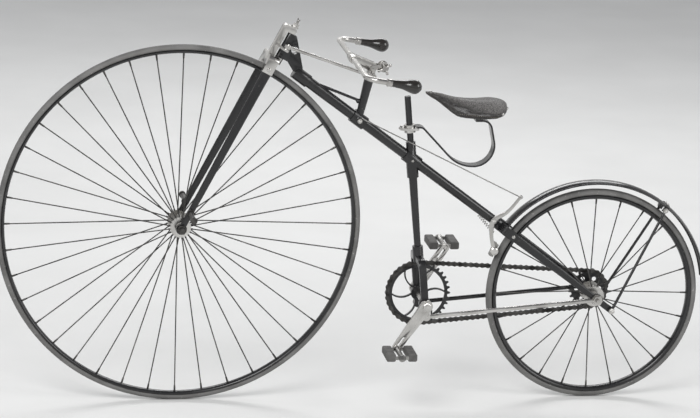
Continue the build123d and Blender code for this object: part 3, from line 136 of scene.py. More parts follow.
wheel_middle = (-0.3, 0.0, -0.35)
area_lamp("main_lamp", (-2.6, -3.4, 3.2), wheel_middle, 3.0, 2.2, 150.0)
area_lamp("side_lamp", (3.4, -2.4, 1.6), wheel_middle, 2.0, 2.4, 60.0)
area_lamp("back_lamp", (0.4, 3.6, 2.6), wheel_middle, 4.0, 1.0, 90.0)

bpy.ops.mesh.primitive_circle_add(
    vertices=96, radius=floor_radius, fill_type="NGON", location=(0, 0, ground_z))
floor = bpy.context.object
floor.name = "studio_floor"
bpy.ops.object.transform_apply(location=True, rotation=True, scale=True)
print("floor at", round(ground_z, 4), "and 3 lamps")

# %% [markdown]
# The sky that is seen, and that the polished pieces mirror, is pale near the horizon and greyer overhead,
# so that the nickel gets some contrast. Matt surfaces are lit by a plain pale sky instead.

# %% Sky
world = bpy.data.worlds.new("studio_sky")
bpy.context.scene.world = world
world.use_nodes = True
sky = world.node_tree
sky.nodes.clear()
sky_out = sky.nodes.new("ShaderNodeOutputWorld")
sky_seen = sky.nodes.new("ShaderNodeBackground")
sky_light = sky.nodes.new("ShaderNodeBackground")
sky_mix = sky.nodes.new("ShaderNodeMixShader")
rays = sky.nodes.new("ShaderNodeLightPath")
sum_glossy = sky.nodes.new("ShaderNodeMath")
sum_clear = sky.nodes.new("ShaderNodeMath")
sum_clear.use_clamp = True
direction = sky.nodes.new("ShaderNodeTexCoord")
split = sky.nodes.new("ShaderNodeSeparateXYZ")
ramp = sky.nodes.new("ShaderNodeValToRGB")
ramp.color_ramp.elements[0].position = 0.02
ramp.color_ramp.elements[0].color = (0.86, 0.86, 0.85, 1)
ramp.color_ramp.elements[1].position = 0.75
ramp.color_ramp.elements[1].color = (0.26, 0.26, 0.27, 1)
sky_light.inputs["Color"].default_value = (0.82, 0.83, 0.85, 1)
sky_light.inputs["Strength"].default_value = 0.55
sky.links.new(direction.outputs["Generated"], split.inputs[0])
sky.links.new(split.outputs["Z"], ramp.inputs["Fac"])
sky.links.new(ramp.outputs["Color"], sky_seen.inputs["Color"])
sky.links.new(rays.outputs["Is Camera Ray"], sum_glossy.inputs[0])
sky.links.new(rays.outputs["Is Glossy Ray"], sum_glossy.inputs[1])
sky.links.new(sum_glossy.outputs[0], sum_clear.inputs[0])
sky.links.new(rays.outputs["Is Transmission Ray"], sum_clear.inputs[1])
sky.links.new(sum_clear.outputs[0], sky_mix.inputs["Fac"])
sky.links.new(sky_light.outputs[0], sky_mix.inputs[1])
sky.links.new(sky_seen.outputs[0], sky_mix.inputs[2])
sky.links.new(sky_mix.outputs[0], sky_out.inputs["Surface"])
bpy.context.scene.view_settings.view_transform = "Standard"
print("sky of", len(sky.nodes), "nodes")

# %% [markdown]
# ## Finishes
#
# Each finish is a small node tree on Object coordinates, so its grain keeps its real size on every piece. A
# finish starts from two colours mixed by a noise and a roughness that wanders between two values.
# One helper makes that start, and each finish then adds what is its own: a bump, or small worn spots.

# %% Helpers for finishes
colour_span = (0.32, 0.70)
rough_span = (0.30, 0.70)
speck_edge = 0.04


def start_finish(name, colours, roughness, metallic, patch_scale, stretch=(1, 1, 1)):
    """A material whose colour and roughness wander with a noise of the given scale."""
    material = bpy.data.materials.new(name)
    material.use_nodes = True
    tree = material.node_tree
    shader = tree.nodes["Principled BSDF"]
    place = tree.nodes.new("ShaderNodeTexCoord")
    mapping = tree.nodes.new("ShaderNodeMapping")
    mapping.inputs["Scale"].default_value = stretch
    patches = tree.nodes.new("ShaderNodeTexNoise")
    patches.inputs["Scale"].default_value = patch_scale
    patches.inputs["Detail"].default_value = 6.0
    colour = tree.nodes.new("ShaderNodeValToRGB")
    for element, position, value in zip(colour.color_ramp.elements, colour_span, colours):
        element.position = position
        element.color = (*value, 1)
    rough = tree.nodes.new("ShaderNodeMapRange")
    rough.inputs["From Min"].default_value = rough_span[0]
    rough.inputs["From Max"].default_value = rough_span[1]
    rough.inputs["To Min"].default_value = roughness[0]
    rough.inputs["To Max"].default_value = roughness[1]
    tree.links.new(place.outputs["Object"], mapping.inputs["Vector"])
    tree.links.new(mapping.outputs["Vector"], patches.inputs["Vector"])
    tree.links.new(patches.outputs["Fac"], colour.inputs["Fac"])
    tree.links.new(patches.outputs["Fac"], rough.inputs["Value"])
    tree.links.new(colour.outputs["Color"], shader.inputs["Base Color"])
    tree.links.new(rough.outputs["Result"], shader.inputs["Roughness"])
    shader.inputs["Metallic"].default_value = metallic
    return material, tree, shader, mapping, colour


def add_bump(tree, shader, source, strength, depth):
    """Raise the surface by a texture's value."""
    bump = tree.nodes.new("ShaderNodeBump")
    bump.inputs["Strength"].default_value = strength
    bump.inputs["Distance"].default_value = depth
    tree.links.new(source, bump.inputs["Height"])
    tree.links.new(bump.outputs["Normal"], shader.inputs["Normal"])


def add_noise(tree, mapping, scale, detail=3.0):
    """A noise of its own scale on a finish's coordinates."""
    noise = tree.nodes.new("ShaderNodeTexNoise")
    noise.inputs["Scale"].default_value = scale
    noise.inputs["Detail"].default_value = detail
    tree.links.new(mapping.outputs["Vector"], noise.inputs["Vector"])
    return noise


def add_specks(tree, shader, colour, mapping, scale, threshold, speck):
    """Small worn spots of another colour laid over a finish."""
    spots = add_noise(tree, mapping, scale, 8.0)
    cut = tree.nodes.new("ShaderNodeMapRange")
    cut.inputs["From Min"].default_value = threshold
    cut.inputs["From Max"].default_value = threshold + speck_edge
    mix = tree.nodes.new("ShaderNodeMix")
    mix.data_type = "RGBA"
    mix.inputs["B"].default_value = (*speck, 1)
    tree.links.new(spots.outputs["Fac"], cut.inputs["Value"])
    tree.links.new(cut.outputs["Result"], mix.inputs["Factor"])
    tree.links.new(colour.outputs["Color"], mix.inputs["A"])
    tree.links.new(mix.outputs["Result"], shader.inputs["Base Color"])


print("finish helpers ready")

# %% [markdown]
# Black stove enamel: nearly black, glossy under a clear coat, with the faint ripple of brushed paint and a
# few grey chips. Nickel: a slightly warm mirror, clouded where hands and weather have been.

# %% Enamel and bright nickel
enamel, tree, shader, mapping, colour = start_finish(
    "black_enamel", ((0.006, 0.006, 0.007), (0.014, 0.014, 0.015)), (0.18, 0.36), 0.0, 9.0)
shader.inputs["Coat Weight"].default_value = 0.2
shader.inputs["Coat Roughness"].default_value = 0.08
add_bump(tree, shader, add_noise(tree, mapping, 140.0).outputs["Fac"], 0.05, 0.001)
add_specks(tree, shader, colour, mapping, 65.0, 0.70, (0.16, 0.15, 0.14))

nickel, tree, shader, mapping, colour = start_finish(
    "bright_nickel", ((0.40, 0.39, 0.375), (0.68, 0.67, 0.65)), (0.15, 0.32), 1.0, 14.0)
add_bump(tree, shader, add_noise(tree, mapping, 420.0).outputs["Fac"], 0.04, 0.0006)
add_specks(tree, shader, colour, mapping, 90.0, 0.68, (0.19, 0.17, 0.15))
print("enamel and nickel")

# %% [markdown]
# Bare steel is duller than nickel. The chain is the same steel under old oil. Both get a fine grain, as a
# lathe or a file leaves it. The spokes' wire has darkened and stays smooth.

# %% Steels
steel, tree, shader, mapping, colour = start_finish(
    "drawn_steel", ((0.20, 0.195, 0.19), (0.42, 0.415, 0.40)), (0.28, 0.48), 1.0, 30.0)
add_bump(tree, shader, add_noise(tree, mapping, 600.0).outputs["Fac"], 0.08, 0.0005)

chain_steel, tree, shader, mapping, colour = start_finish(
    "oiled_chain_steel", ((0.022, 0.021, 0.020), (0.120, 0.116, 0.112)), (0.30, 0.55), 0.85, 55.0)
add_bump(tree, shader, add_noise(tree, mapping, 700.0).outputs["Fac"], 0.1, 0.0005)

wire_steel, *_ = start_finish(
    "darkened_wire", ((0.030, 0.029, 0.028), (0.110, 0.107, 0.103)), (0.30, 0.50), 0.9, 45.0)
print("steel, chain steel and wire")

# %% [markdown]
# Solid rubber: grey-black and matt. The tyres have gone grey, with pale dust in their pores. The pedal
# rubbers are darker and rougher.

# %% Rubbers
tyre_rubber, tree, shader, mapping, colour = start_finish(
    "solid_tyre_rubber", ((0.105, 0.103, 0.100), (0.195, 0.192, 0.186)), (0.50, 0.74), 0.0, 18.0)
add_bump(tree, shader, add_noise(tree, mapping, 260.0, 6.0).outputs["Fac"], 0.18, 0.0012)
add_specks(tree, shader, colour, mapping, 130.0, 0.66, (0.29, 0.285, 0.275))

pedal_rubber, tree, shader, mapping, colour = start_finish(
    "grey_pedal_rubber", ((0.075, 0.073, 0.070), (0.160, 0.156, 0.150)), (0.62, 0.84), 0.0, 40.0)
add_bump(tree, shader, add_noise(tree, mapping, 480.0, 6.0).outputs["Fac"], 0.25, 0.001)
print("rubbers")

# %% [markdown]
# Saddle leather has a cell-like grain. A Voronoi texture's distance to the cell edge gives the creases. The
# flaps are dark and polished by the rider's legs, and the top has gone grey and rough, so the way that a
# face looks decides between the two. Horn is streaked along its growth, so its noise is stretched along the
# grips.

# %% Leather and horn
leather, tree, shader, mapping, colour = start_finish(
    "saddle_leather", ((0.009, 0.008, 0.007), (0.024, 0.020, 0.017)), (0.26, 0.52), 0.0, 22.0)
grain = tree.nodes.new("ShaderNodeTexVoronoi")
grain.feature = "DISTANCE_TO_EDGE"
grain.inputs["Scale"].default_value = 420.0
creases = tree.nodes.new("ShaderNodeMapRange")
creases.inputs["From Max"].default_value = 0.12
tree.links.new(mapping.outputs["Vector"], grain.inputs["Vector"])
tree.links.new(grain.outputs["Distance"], creases.inputs["Value"])
add_bump(tree, shader, creases.outputs["Result"], 0.30, 0.0012)
facing = tree.nodes.new("ShaderNodeNewGeometry")
upward = tree.nodes.new("ShaderNodeSeparateXYZ")
wear = tree.nodes.new("ShaderNodeMapRange")
wear.inputs["From Min"].default_value = 0.56
wear.inputs["From Max"].default_value = 0.76
worn = tree.nodes.new("ShaderNodeMix")
worn.data_type = "RGBA"
nap = add_noise(tree, mapping, 330.0, 3.0)
napped = tree.nodes.new("ShaderNodeValToRGB")
napped.color_ramp.elements[0].position = 0.36
napped.color_ramp.elements[0].color = (0.030, 0.028, 0.027, 1)
napped.color_ramp.elements[1].position = 0.64
napped.color_ramp.elements[1].color = (0.190, 0.182, 0.175, 1)
tree.links.new(nap.outputs["Fac"], napped.inputs["Fac"])
tree.links.new(napped.outputs["Color"], worn.inputs["B"])
dry = tree.nodes.new("ShaderNodeMapRange")
dry.inputs["To Min"].default_value = 0.17
dry.inputs["To Max"].default_value = 0.78
tree.links.new(facing.outputs["Normal"], upward.inputs[0])
tree.links.new(upward.outputs["Z"], wear.inputs["Value"])
tree.links.new(wear.outputs["Result"], worn.inputs["Factor"])
tree.links.new(wear.outputs["Result"], dry.inputs["Value"])
tree.links.new(colour.outputs["Color"], worn.inputs["A"])
tree.links.new(worn.outputs["Result"], shader.inputs["Base Color"])
tree.links.new(dry.outputs["Result"], shader.inputs["Roughness"])
shader.inputs["Coat Weight"].default_value = 0.12
shader.inputs["Coat Roughness"].default_value = 0.25

horn, tree, shader, mapping, colour = start_finish(
    "polished_horn", ((0.005, 0.005, 0.005), (0.020, 0.016, 0.013)), (0.10, 0.22), 0.0, 60.0, (0.15, 1, 1))
shader.inputs["Coat Weight"].default_value = 0.5
shader.inputs["Coat Roughness"].default_value = 0.06
add_bump(tree, shader, add_noise(tree, mapping, 200.0).outputs["Fac"], 0.05, 0.0006)

thread, *_ = start_finish(
    "waxed_thread", ((0.10, 0.085, 0.065), (0.20, 0.175, 0.14)), (0.55, 0.75), 0.0, 300.0)
print("leather, horn and thread")

# %% [markdown]
# The floor is a plain pale sheet, with only enough mottling to catch the wheels' shadows like paper does.

# %% Floor finish
paper, *_ = start_finish(
    "pale_floor", ((0.76, 0.76, 0.75), (0.80, 0.80, 0.79)), (0.7, 0.85), 0.0, 3.0)
floor.data.materials.append(paper)
print("floor finish")

# %% [markdown]
# ## Finishes on the solid pieces
#
# A solid whose shape is right stays as it is and only gets its finish. The record groups the pieces by
# slot, so one table from slot to finish is enough, with a few listed exceptions.

# %% Dress the solid nodes
finishes = {"enamel": enamel, "bright": nickel, "steel": steel, "chain": chain_steel, "tyre": tyre_rubber,
            "rubber": pedal_rubber, "leather": leather, "horn": horn}


def dress(piece, material):
    """Give a piece one finish in place of whatever it had."""
    piece.data.materials.clear()
    piece.data.materials.append(material)


for entry in frame["record"]["subparts"]:
    dress(nodes[entry["node"]], finishes[entry["material_slot"]])
for node, material in (("brake_pulley", enamel), ("foot_rests", chain_steel), ("front_axle", chain_steel)):
    dress(nodes[node], material)

# %% [markdown]
# ## Tools for new pieces
#
# Most fittings on such a machine came off a lathe: pins, nuts, nipples, caps. The helper below does the
# same by hand moves. A disc is added at the foot, and each step of the profile is one extrude along the
# axis and one resize about it. With six sides it makes hexagon nuts. The other helpers select points in
# code, join loose shapes into one piece, round sharp edges with a Bevel modifier, and repeat a shape round
# an axle with a spin that leaves copies.

# %% Lathe, selection, joining, rounding and copies
merge_distance = 1e-5
fine_merge_distance = 1e-6
edge_turn = radians(40)
edge_steps = 2
unmoved = Matrix.Identity(4)


def choose(piece):
    """Make a piece the only one selected, and the active one."""
    bpy.ops.object.select_all(action="DESELECT")
    piece.select_set(True)
    bpy.context.view_layer.objects.active = piece


def edit(piece):
    """Enter edit mode on one piece only, with everything in it selected."""
    choose(piece)
    bpy.ops.object.mode_set(mode="EDIT")
    bpy.ops.mesh.select_all(action="SELECT")


def leave():
    """Turn every face outwards and go back to object mode."""
    bpy.ops.mesh.select_all(action="SELECT")
    bpy.ops.mesh.normals_make_consistent(inside=False)
    bpy.ops.object.mode_set(mode="OBJECT")


def added(name):
    """The primitive that was just added, named and with its place put into its mesh."""
    piece = bpy.context.object
    piece.name = name
    bpy.ops.object.transform_apply(location=True, rotation=True, scale=True)
    return piece


def turned(name, foot, way, profile, sides=16):
    """Extrude a disc along a direction through (distance, radius) steps."""
    foot = Vector(foot)
    way = Vector(way).normalized()
    bpy.ops.mesh.primitive_circle_add(
        vertices=sides, radius=profile[0][1], fill_type="NGON", location=foot + way * profile[0][0],
        rotation=way.to_track_quat("Z", "Y").to_euler())
    piece = added(name)
    edit(piece)
    for (last, last_radius), (distance, radius) in zip(profile, profile[1:]):
        bpy.ops.mesh.extrude_region_move(TRANSFORM_OT_translate={"value": tuple(way * (distance - last))})
        bpy.ops.transform.resize(value=(radius / last_radius,) * 3, center_override=foot + way * distance)
    leave()
    return piece


def pick_points(piece, test):
    """In edit mode, select only the points that pass a test on their place."""
    bpy.ops.mesh.select_all(action="DESELECT")
    shape = bmesh.from_edit_mesh(piece.data)
    for point in shape.verts:
        point.select_set(test(point.co))
    shape.select_flush(True)
    bmesh.update_edit_mesh(piece.data)


def pick_edges(piece, test):
    """In edit mode, select only the edges whose two ends pass a test."""
    bpy.ops.mesh.select_all(action="DESELECT")
    shape = bmesh.from_edit_mesh(piece.data)
    for side in shape.edges:
        side.select_set(test(side.verts[0].co, side.verts[1].co))
    bmesh.update_edit_mesh(piece.data)


def joined(name, pieces):
    """Several shapes made one piece."""
    bpy.ops.object.select_all(action="DESELECT")
    for piece in pieces:
        piece.select_set(True)
    bpy.context.view_layer.objects.active = pieces[0]
    bpy.ops.object.join()
    pieces[0].name = name
    return pieces[0]


def copies_round(piece, count, centre):
    """Repeat a piece evenly round an axle that runs along Y."""
    edit(piece)
    bpy.ops.mesh.spin(
        steps=count - 1, angle=2 * pi * (count - 1) / count, dupli=True, center=centre, axis=(0, 1, 0))
    bpy.ops.object.mode_set(mode="OBJECT")
    return piece


def copy_at(piece, matrix):
    """Another of a piece, with its own mesh, moved by a matrix."""
    twin = piece.copy()
    twin.data = piece.data.copy()
    twin.data.transform(matrix)
    bpy.context.scene.collection.objects.link(twin)
    return twin


def free_copy(node, name):
    """A copy of a solid that hangs on nothing, to be changed."""
    piece = copy_at(nodes[node], unmoved)
    piece.name = name
    piece.parent = None
    piece.matrix_world = unmoved
    return piece


def round_edges(piece, width):
    """Round the sharp edges of the active piece."""
    rounding = piece.modifiers.new("rounding", "BEVEL")
    rounding.limit_method = "ANGLE"
    rounding.angle_limit = edge_turn
    rounding.width = width
    rounding.segments = edge_steps
    bpy.ops.object.modifier_apply(modifier=rounding.name)


def settle(piece, material, body, slot, *stands_for, crease=35):
    """Smooth a piece, finish it, tie it to its body and hide the solids that it stands for."""
    choose(piece)
    bpy.ops.object.shade_smooth_by_angle(angle=radians(crease))
    dress(piece, material)
    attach(piece, body)
    if stands_for:
        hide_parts(*stands_for)


def box_middle(node):
    """The middle of a solid's box."""
    low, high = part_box(node)
    return (Vector(low) + Vector(high)) / 2


def box_half(node):
    """Half the size of a solid's box."""
    low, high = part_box(node)
    return (Vector(high) - Vector(low)) / 2


print("tools ready")

# %% [markdown]
# ## Tyres and rims
#
# Each wheel has a solid round tyre cemented into a hollow crescent rim. A tyre could be a torus, but its
# belly is flatter than its tread, so a circle is added as the section, its lower half is squashed, and it
# is spun once round the axle. The rim is made the same way from a flatter circle, whose upper half shows as
# two thin lips along the tyre.

# %% Tyres and rims
wheels = {
    # rim depth, spoke count, flange places to the left and to the right of the middle
    "front": (0.008, 40, 0.040, 0.040),
    "rear": (0.011, 24, 0.036, 0.022),
}
lip_rise = 0.0014
tyre_inset = 0.0001
tyre_corners = 24
rim_corners = 20
ring_steps = 192


def wheel_ring(name, centre, radius, half_width, rise, drop, corners):
    """Spin a circle, squashed to one height above and one below its middle, round an axle."""
    place = centre + Vector((0, 0, radius))
    bpy.ops.mesh.primitive_circle_add(
        vertices=corners, radius=half_width, location=place, rotation=(0, pi / 2, 0))
    piece = added(name)
    edit(piece)
    pick_points(piece, lambda co: co.z > place.z + half_width / 100)
    bpy.ops.transform.resize(value=(1, 1, rise / half_width), center_override=place)
    pick_points(piece, lambda co: co.z < place.z - half_width / 100)
    bpy.ops.transform.resize(value=(1, 1, drop / half_width), center_override=place)
    bpy.ops.mesh.select_all(action="SELECT")
    bpy.ops.mesh.spin(steps=ring_steps, angle=2 * pi, center=centre, axis=(0, 1, 0))
    bpy.ops.mesh.select_all(action="SELECT")
    bpy.ops.mesh.remove_doubles(threshold=merge_distance)
    leave()
    return piece


for side, (rim_depth, *_) in wheels.items():
    centre = box_middle(f"{side}_tyre")
    tyre_half = box_half(f"{side}_tyre")
    rim_half = box_half(f"{side}_rim")
    tread = tyre_half.y
    belly = tyre_half.z - rim_half.z - tread
    tyre_radius = tyre_half.z - tread - tyre_inset
    tyre = wheel_ring(f"{side}_round_tyre", centre, tyre_radius, tyre_half.y, tread, belly, tyre_corners)
    settle(tyre, tyre_rubber, f"{side}_wheel", "tyre", f"{side}_tyre", crease=60)
    rim = wheel_ring(f"{side}_crescent_rim", centre, rim_half.z, rim_half.y, lip_rise, rim_depth, rim_corners)
    settle(rim, enamel, f"{side}_wheel", "enamel", f"{side}_rim", crease=60)
    print(side, "tyre", len(tyre.data.polygons), "faces, rim", len(rim.data.polygons))

# %% [markdown]
# ## Spokes
#
# The spokes are straight wires, screwed into the hub's flange at one end and drawn up by a nipple at the
# rim. Every second one starts at the other flange. Two are turned, one for each flange, and the rest are
# copies round the axle.

# %% Spokes with nipples
flange_radius = 0.029
wire_radius = 0.0017
wire_sides = 8
root_radius = 0.0025
root_sunk = 0.003
root_length = 0.005
nipple_radius = 0.0030
nipple_length = 0.016
taper = 0.001


def spoke(name, centre, angle, flange_y, rim_radius):
    """One wire from a flange to the rim, thickened at its root and at its nipple."""
    out = Vector((cos(angle), 0, sin(angle)))
    start = centre + out * flange_radius + Vector((0, flange_y, 0))
    end = centre + out * rim_radius
    length = (end - start).length
    profile = [
        (-root_sunk, root_radius),
        (root_length, root_radius),
        (root_length + taper, wire_radius),
        (length - nipple_length, wire_radius),
        (length - nipple_length + taper, nipple_radius * 0.8),
        (length + taper, nipple_radius),
    ]
    return turned(name, start, end - start, profile, wire_sides)


for side, (rim_depth, spoke_count, left_flange, right_flange) in wheels.items():
    centre = box_middle(f"{side}_tyre")
    rim_radius = box_half(f"{side}_rim").z - rim_depth
    right_wires = spoke(f"{side}_wires", centre, 0.0, right_flange, rim_radius)
    left_wires = spoke(f"{side}_left_wires", centre, 2 * pi / spoke_count, -left_flange, rim_radius)
    for wires in (right_wires, left_wires):
        copies_round(wires, spoke_count // 2, centre)
    wires = joined(f"{side}_wires", [right_wires, left_wires])
    settle(wires, wire_steel, f"{side}_wheel", "steel", f"{side}_spokes")
    print(side, "spokes", spoke_count, "with", len(wires.data.polygons), "faces")

# %% [markdown]
# ## Chain
#
# The chain is made of waisted side plates riveted in pairs. A plate starts as a thin block: its four
# upright edges are bevelled into round ends, its long edges are divided once, and the new points are drawn
# in to make the waist. A wide link has rivet ends. A narrow one has rollers where it is away from the
# toothed wheels. Copies are then laid from pin to pin. On a wheel the pins lie in the gaps between teeth,
# and along the straight runs they are spread evenly.

# %% Pin places round the loop
chain_pitch = 0.015875
wheel_teeth = 35
sprocket_teeth = 21
chain_y = 0.046
tooth_reach = 0.009
crank_centre = box_middle("chainwheel")
crank_centre.y = chain_y
hub_centre = box_middle("rear_sprocket")
hub_centre.y = chain_y


def pitch_radius(teeth):
    """The radius of the circle through the pins on a toothed wheel."""
    return chain_pitch / 2 / sin(pi / teeth)


def gap_pins(centre, teeth, first, last):
    """Pins in the tooth gaps of a wheel from one angle to another."""
    step = 2 * pi / teeth
    low = int(first / step)
    high = int(last / step) + 1
    angles = [step * (index + 0.5) for index in range(low, high)]
    radius = pitch_radius(teeth)
    return [centre + Vector((cos(angle), 0, sin(angle))) * radius
            for angle in angles if first <= angle <= last]


def run_pins(start, end, extra):
    """Evenly spaced pins between two places, without the places themselves."""
    count = round((end - start).length / chain_pitch) + extra
    return [start.lerp(end, index / count) for index in range(1, count)]


run = hub_centre - crank_centre
run_angle = atan2(run.z, run.x)
run_narrowing = asin((pitch_radius(wheel_teeth) - pitch_radius(sprocket_teeth)) / run.length)
upper_angle = run_angle + pi / 2 - run_narrowing
lower_angle = run_angle - pi / 2 + run_narrowing
full_turn = 2 * pi
front_pins = gap_pins(crank_centre, wheel_teeth, upper_angle, lower_angle + full_turn)
rear_pins = gap_pins(hub_centre, sprocket_teeth, lower_angle + full_turn, upper_angle + full_turn)
upper_pins = run_pins(rear_pins[-1], front_pins[0], 0)
lower_pins = run_pins(front_pins[-1], rear_pins[0], 0)
if (len(front_pins) + len(rear_pins) + len(upper_pins) + len(lower_pins)) % 2:
    lower_pins = run_pins(front_pins[-1], rear_pins[0], 1)
pins = front_pins + lower_pins + rear_pins + upper_pins
print("chain of", len(pins), "links")

# %% Links and the loop
plate_half = 0.0064
plate_thickness = 0.0014
plate_places = {"wide": 0.0043, "narrow": 0.0028}
plate_end = 0.96
rivet_radius = 0.0024
rivet_sunk = 0.0002
rivet_stand = 0.0007
roller_radius = 0.0040
waist = 0.62


def link_plate(name, y):
    """A waisted plate from one pin to the next, at one place across the chain."""
    bpy.ops.mesh.primitive_cube_add(
        size=1, location=(chain_pitch / 2, y, 0),
        scale=(chain_pitch + 2 * plate_half, plate_thickness, 2 * plate_half))
    piece = added(name)
    edit(piece)
    pick_edges(piece, lambda a, b: abs(a.y - b.y) > plate_thickness / 2)
    bpy.ops.mesh.bevel(offset=plate_half * plate_end, segments=3, affect="EDGES")
    pick_edges(piece, lambda a, b: abs(a.x - b.x) > chain_pitch / 2)
    bpy.ops.mesh.subdivide(number_cuts=1)
    pick_points(piece, lambda co: abs(co.x - chain_pitch / 2) < chain_pitch / 20)
    bpy.ops.transform.resize(value=(1, 1, waist), center_override=(chain_pitch / 2, y, 0))
    leave()
    return piece


def link(kind, with_roller):
    """Two plates, with rivet ends on a wide link and a roller between a narrow link's plates."""
    across = plate_places[kind]
    shapes = [link_plate(f"{kind}_left", -across), link_plate(f"{kind}_right", across)]
    if kind == "wide":
        for sign in (-1, 1):
            face = sign * (across + plate_thickness / 2)
            for x in (0, chain_pitch):
                shapes.append(turned("rivet", (x, face, 0), (0, sign, 0),
                                     [(-rivet_sunk, rivet_radius), (rivet_stand, rivet_radius * 0.7)], 8))
    elif with_roller:
        reach = across - plate_thickness / 2
        for x in (0, chain_pitch):
            shapes.append(turned("roller", (x, -reach, 0), (0, 1, 0),
                                 [(0, roller_radius), (2 * reach, roller_radius)], 10))
    return joined(f"{kind}_link", shapes)


patterns = {(kind, roller): link(kind, roller) for kind in plate_places for roller in (False, True)}
wheel_edges = [(crank_centre, pitch_radius(wheel_teeth) + tooth_reach),
               (hub_centre, pitch_radius(sprocket_teeth) + tooth_reach)]
laid = []
for index, start in enumerate(pins):
    end = pins[(index + 1) % len(pins)]
    clear = all(min((start - middle).length, (end - middle).length) > edge
                for middle, edge in wheel_edges)
    along = (end - start).normalized()
    up = along.cross(Vector((0, 1, 0)))
    stretch = (end - start).length / chain_pitch
    matrix = Matrix((
        (along.x * stretch, 0, up.x, start.x),
        (along.y * stretch, 1, up.y, start.y),
        (along.z * stretch, 0, up.z, start.z),
        (0, 0, 0, 1),
    ))
    kind = "narrow" if index % 2 else "wide"
    laid.append(copy_at(patterns[kind, clear], matrix))
for pattern in patterns.values():
    bpy.data.objects.remove(pattern)
chain = joined("pinned_chain", laid)
settle(chain, chain_steel, "frame", "chain",
       "chain_upper_run", "chain_lower_run", "chain_front_bend", "chain_rear_bend")
print("chain faces", len(chain.data.polygons))

# %% [markdown]
# ## Saddle
#
# The saddle is stuffed leather: a narrow raised nose, a dip, a broad rear and two hanging flaps. Its solid
# has the right sizes, but straight runs between its sections. A copy of it is merged and remeshed into even
# cells, and its points are moved until outline, ridge and flaps follow smooth lines through a second,
# fuller table. It is then drawn in by two millimetres and blown up by the cloth solver, as stuffing fills a
# cover, and no point may move further than a small cap. The result is applied and divided once.

# %% Smooth lines through the saddle's sections
solid_sections = [
    # behind the rider's point, height of the top, half width, height of the flaps' edge
    (-0.124, 0.024, 0.009, 0.012),
    (-0.089, 0.017, 0.022, -0.006),
    (-0.041, 0.004, 0.044, -0.045),
    (0.015, -0.002, 0.070, -0.045),
    (0.068, -0.006, 0.088, -0.045),
    (0.109, -0.018, 0.062, -0.036),
]
leather_sections = [
    # the stuffed leather, with more places where its rear rounds off
    (-0.124, 0.0240, 0.0095, 0.0120),
    (-0.089, 0.0155, 0.0190, -0.0070),
    (-0.041, 0.0025, 0.0420, -0.0480),
    (0.015, -0.0030, 0.0690, -0.0520),
    (0.055, -0.0010, 0.0825, -0.0480),
    (0.080, -0.0020, 0.0800, -0.0430),
    (0.098, -0.0060, 0.0640, -0.0350),
    (0.109, -0.0125, 0.0300, -0.0260),
]
hollow_roof = -0.024
flap_inner = 0.72
flap_outer = 0.94
rear_start = 0.066
rear_blend = 0.012


def span_of(sections, x):
    """The number of the run between two sections that holds x, and how far along it x lies."""
    last = len(sections) - 2
    for index in range(last + 1):
        share = (x - sections[index][0]) / (sections[index + 1][0] - sections[index][0])
        if share <= 1 or index == last:
            return index, min(max(share, 0.0), 1.0)


def straight(sections, x, column):
    """A column of the table, read along straight runs."""
    index, share = span_of(sections, x)
    return sections[index][column] * (1 - share) + sections[index + 1][column] * share


def flowing(sections, x, column):
    """A column of the table, read along a smooth line through its values."""
    index, share = span_of(sections, x)

    def slope(number):
        before = sections[max(number - 1, 0)]
        after = sections[min(number + 1, len(sections) - 1)]
        return (after[column] - before[column]) / (after[0] - before[0])

    run = sections[index + 1][0] - sections[index][0]
    first, second = sections[index][column], sections[index + 1][column]
    square, cube = share ** 2, share ** 3
    return (first * (2 * cube - 3 * square + 1) + slope(index) * run * (cube - 2 * square + share)
            + second * (3 * square - 2 * cube) + slope(index + 1) * run * (cube - square))


def ease(value, low, high):
    """From 0 at a low value to 1 at a high one, without a corner."""
    share = min(max((value - low) / (high - low), 0.0), 1.0)
    return share * share * (3 - 2 * share)


def on_leather(co):
    """Where a point of the solid saddle lies on the stuffed one."""
    half = straight(solid_sections, co.x, 2)
    top, edge = straight(solid_sections, co.x, 1), straight(solid_sections, co.x, 3)
    out = min(abs(co.y) / half, 1.0)
    high_share = min(max((co.z - hollow_roof) / (top - hollow_roof), 0.0), 1.0)
    low_share = min(max((top - co.z) / (top - edge), 0.0), 1.0)
    flap = max(ease(out, flap_inner, flap_outer), ease(co.x, rear_start, rear_start + rear_blend))
    rise = (flowing(leather_sections, co.x, 1) - top) * max(high_share, 1 - low_share)
    drop = (flowing(leather_sections, co.x, 3) - edge) * low_share * flap
    return Vector((co.x, co.y * flowing(leather_sections, co.x, 2) / half, co.z + rise + drop))


print("saddle lines through", len(leather_sections), "sections")

# %% Stuffed leather
stuffing_voxel = 0.004
stuffing_draw_in = 0.002
stuffing_cap = 0.003
stuffing_frames = 20
stuffing_pressure = 4.0
leather_mass = 0.4
smoothing_share = 0.5
smoothing_rounds = 6

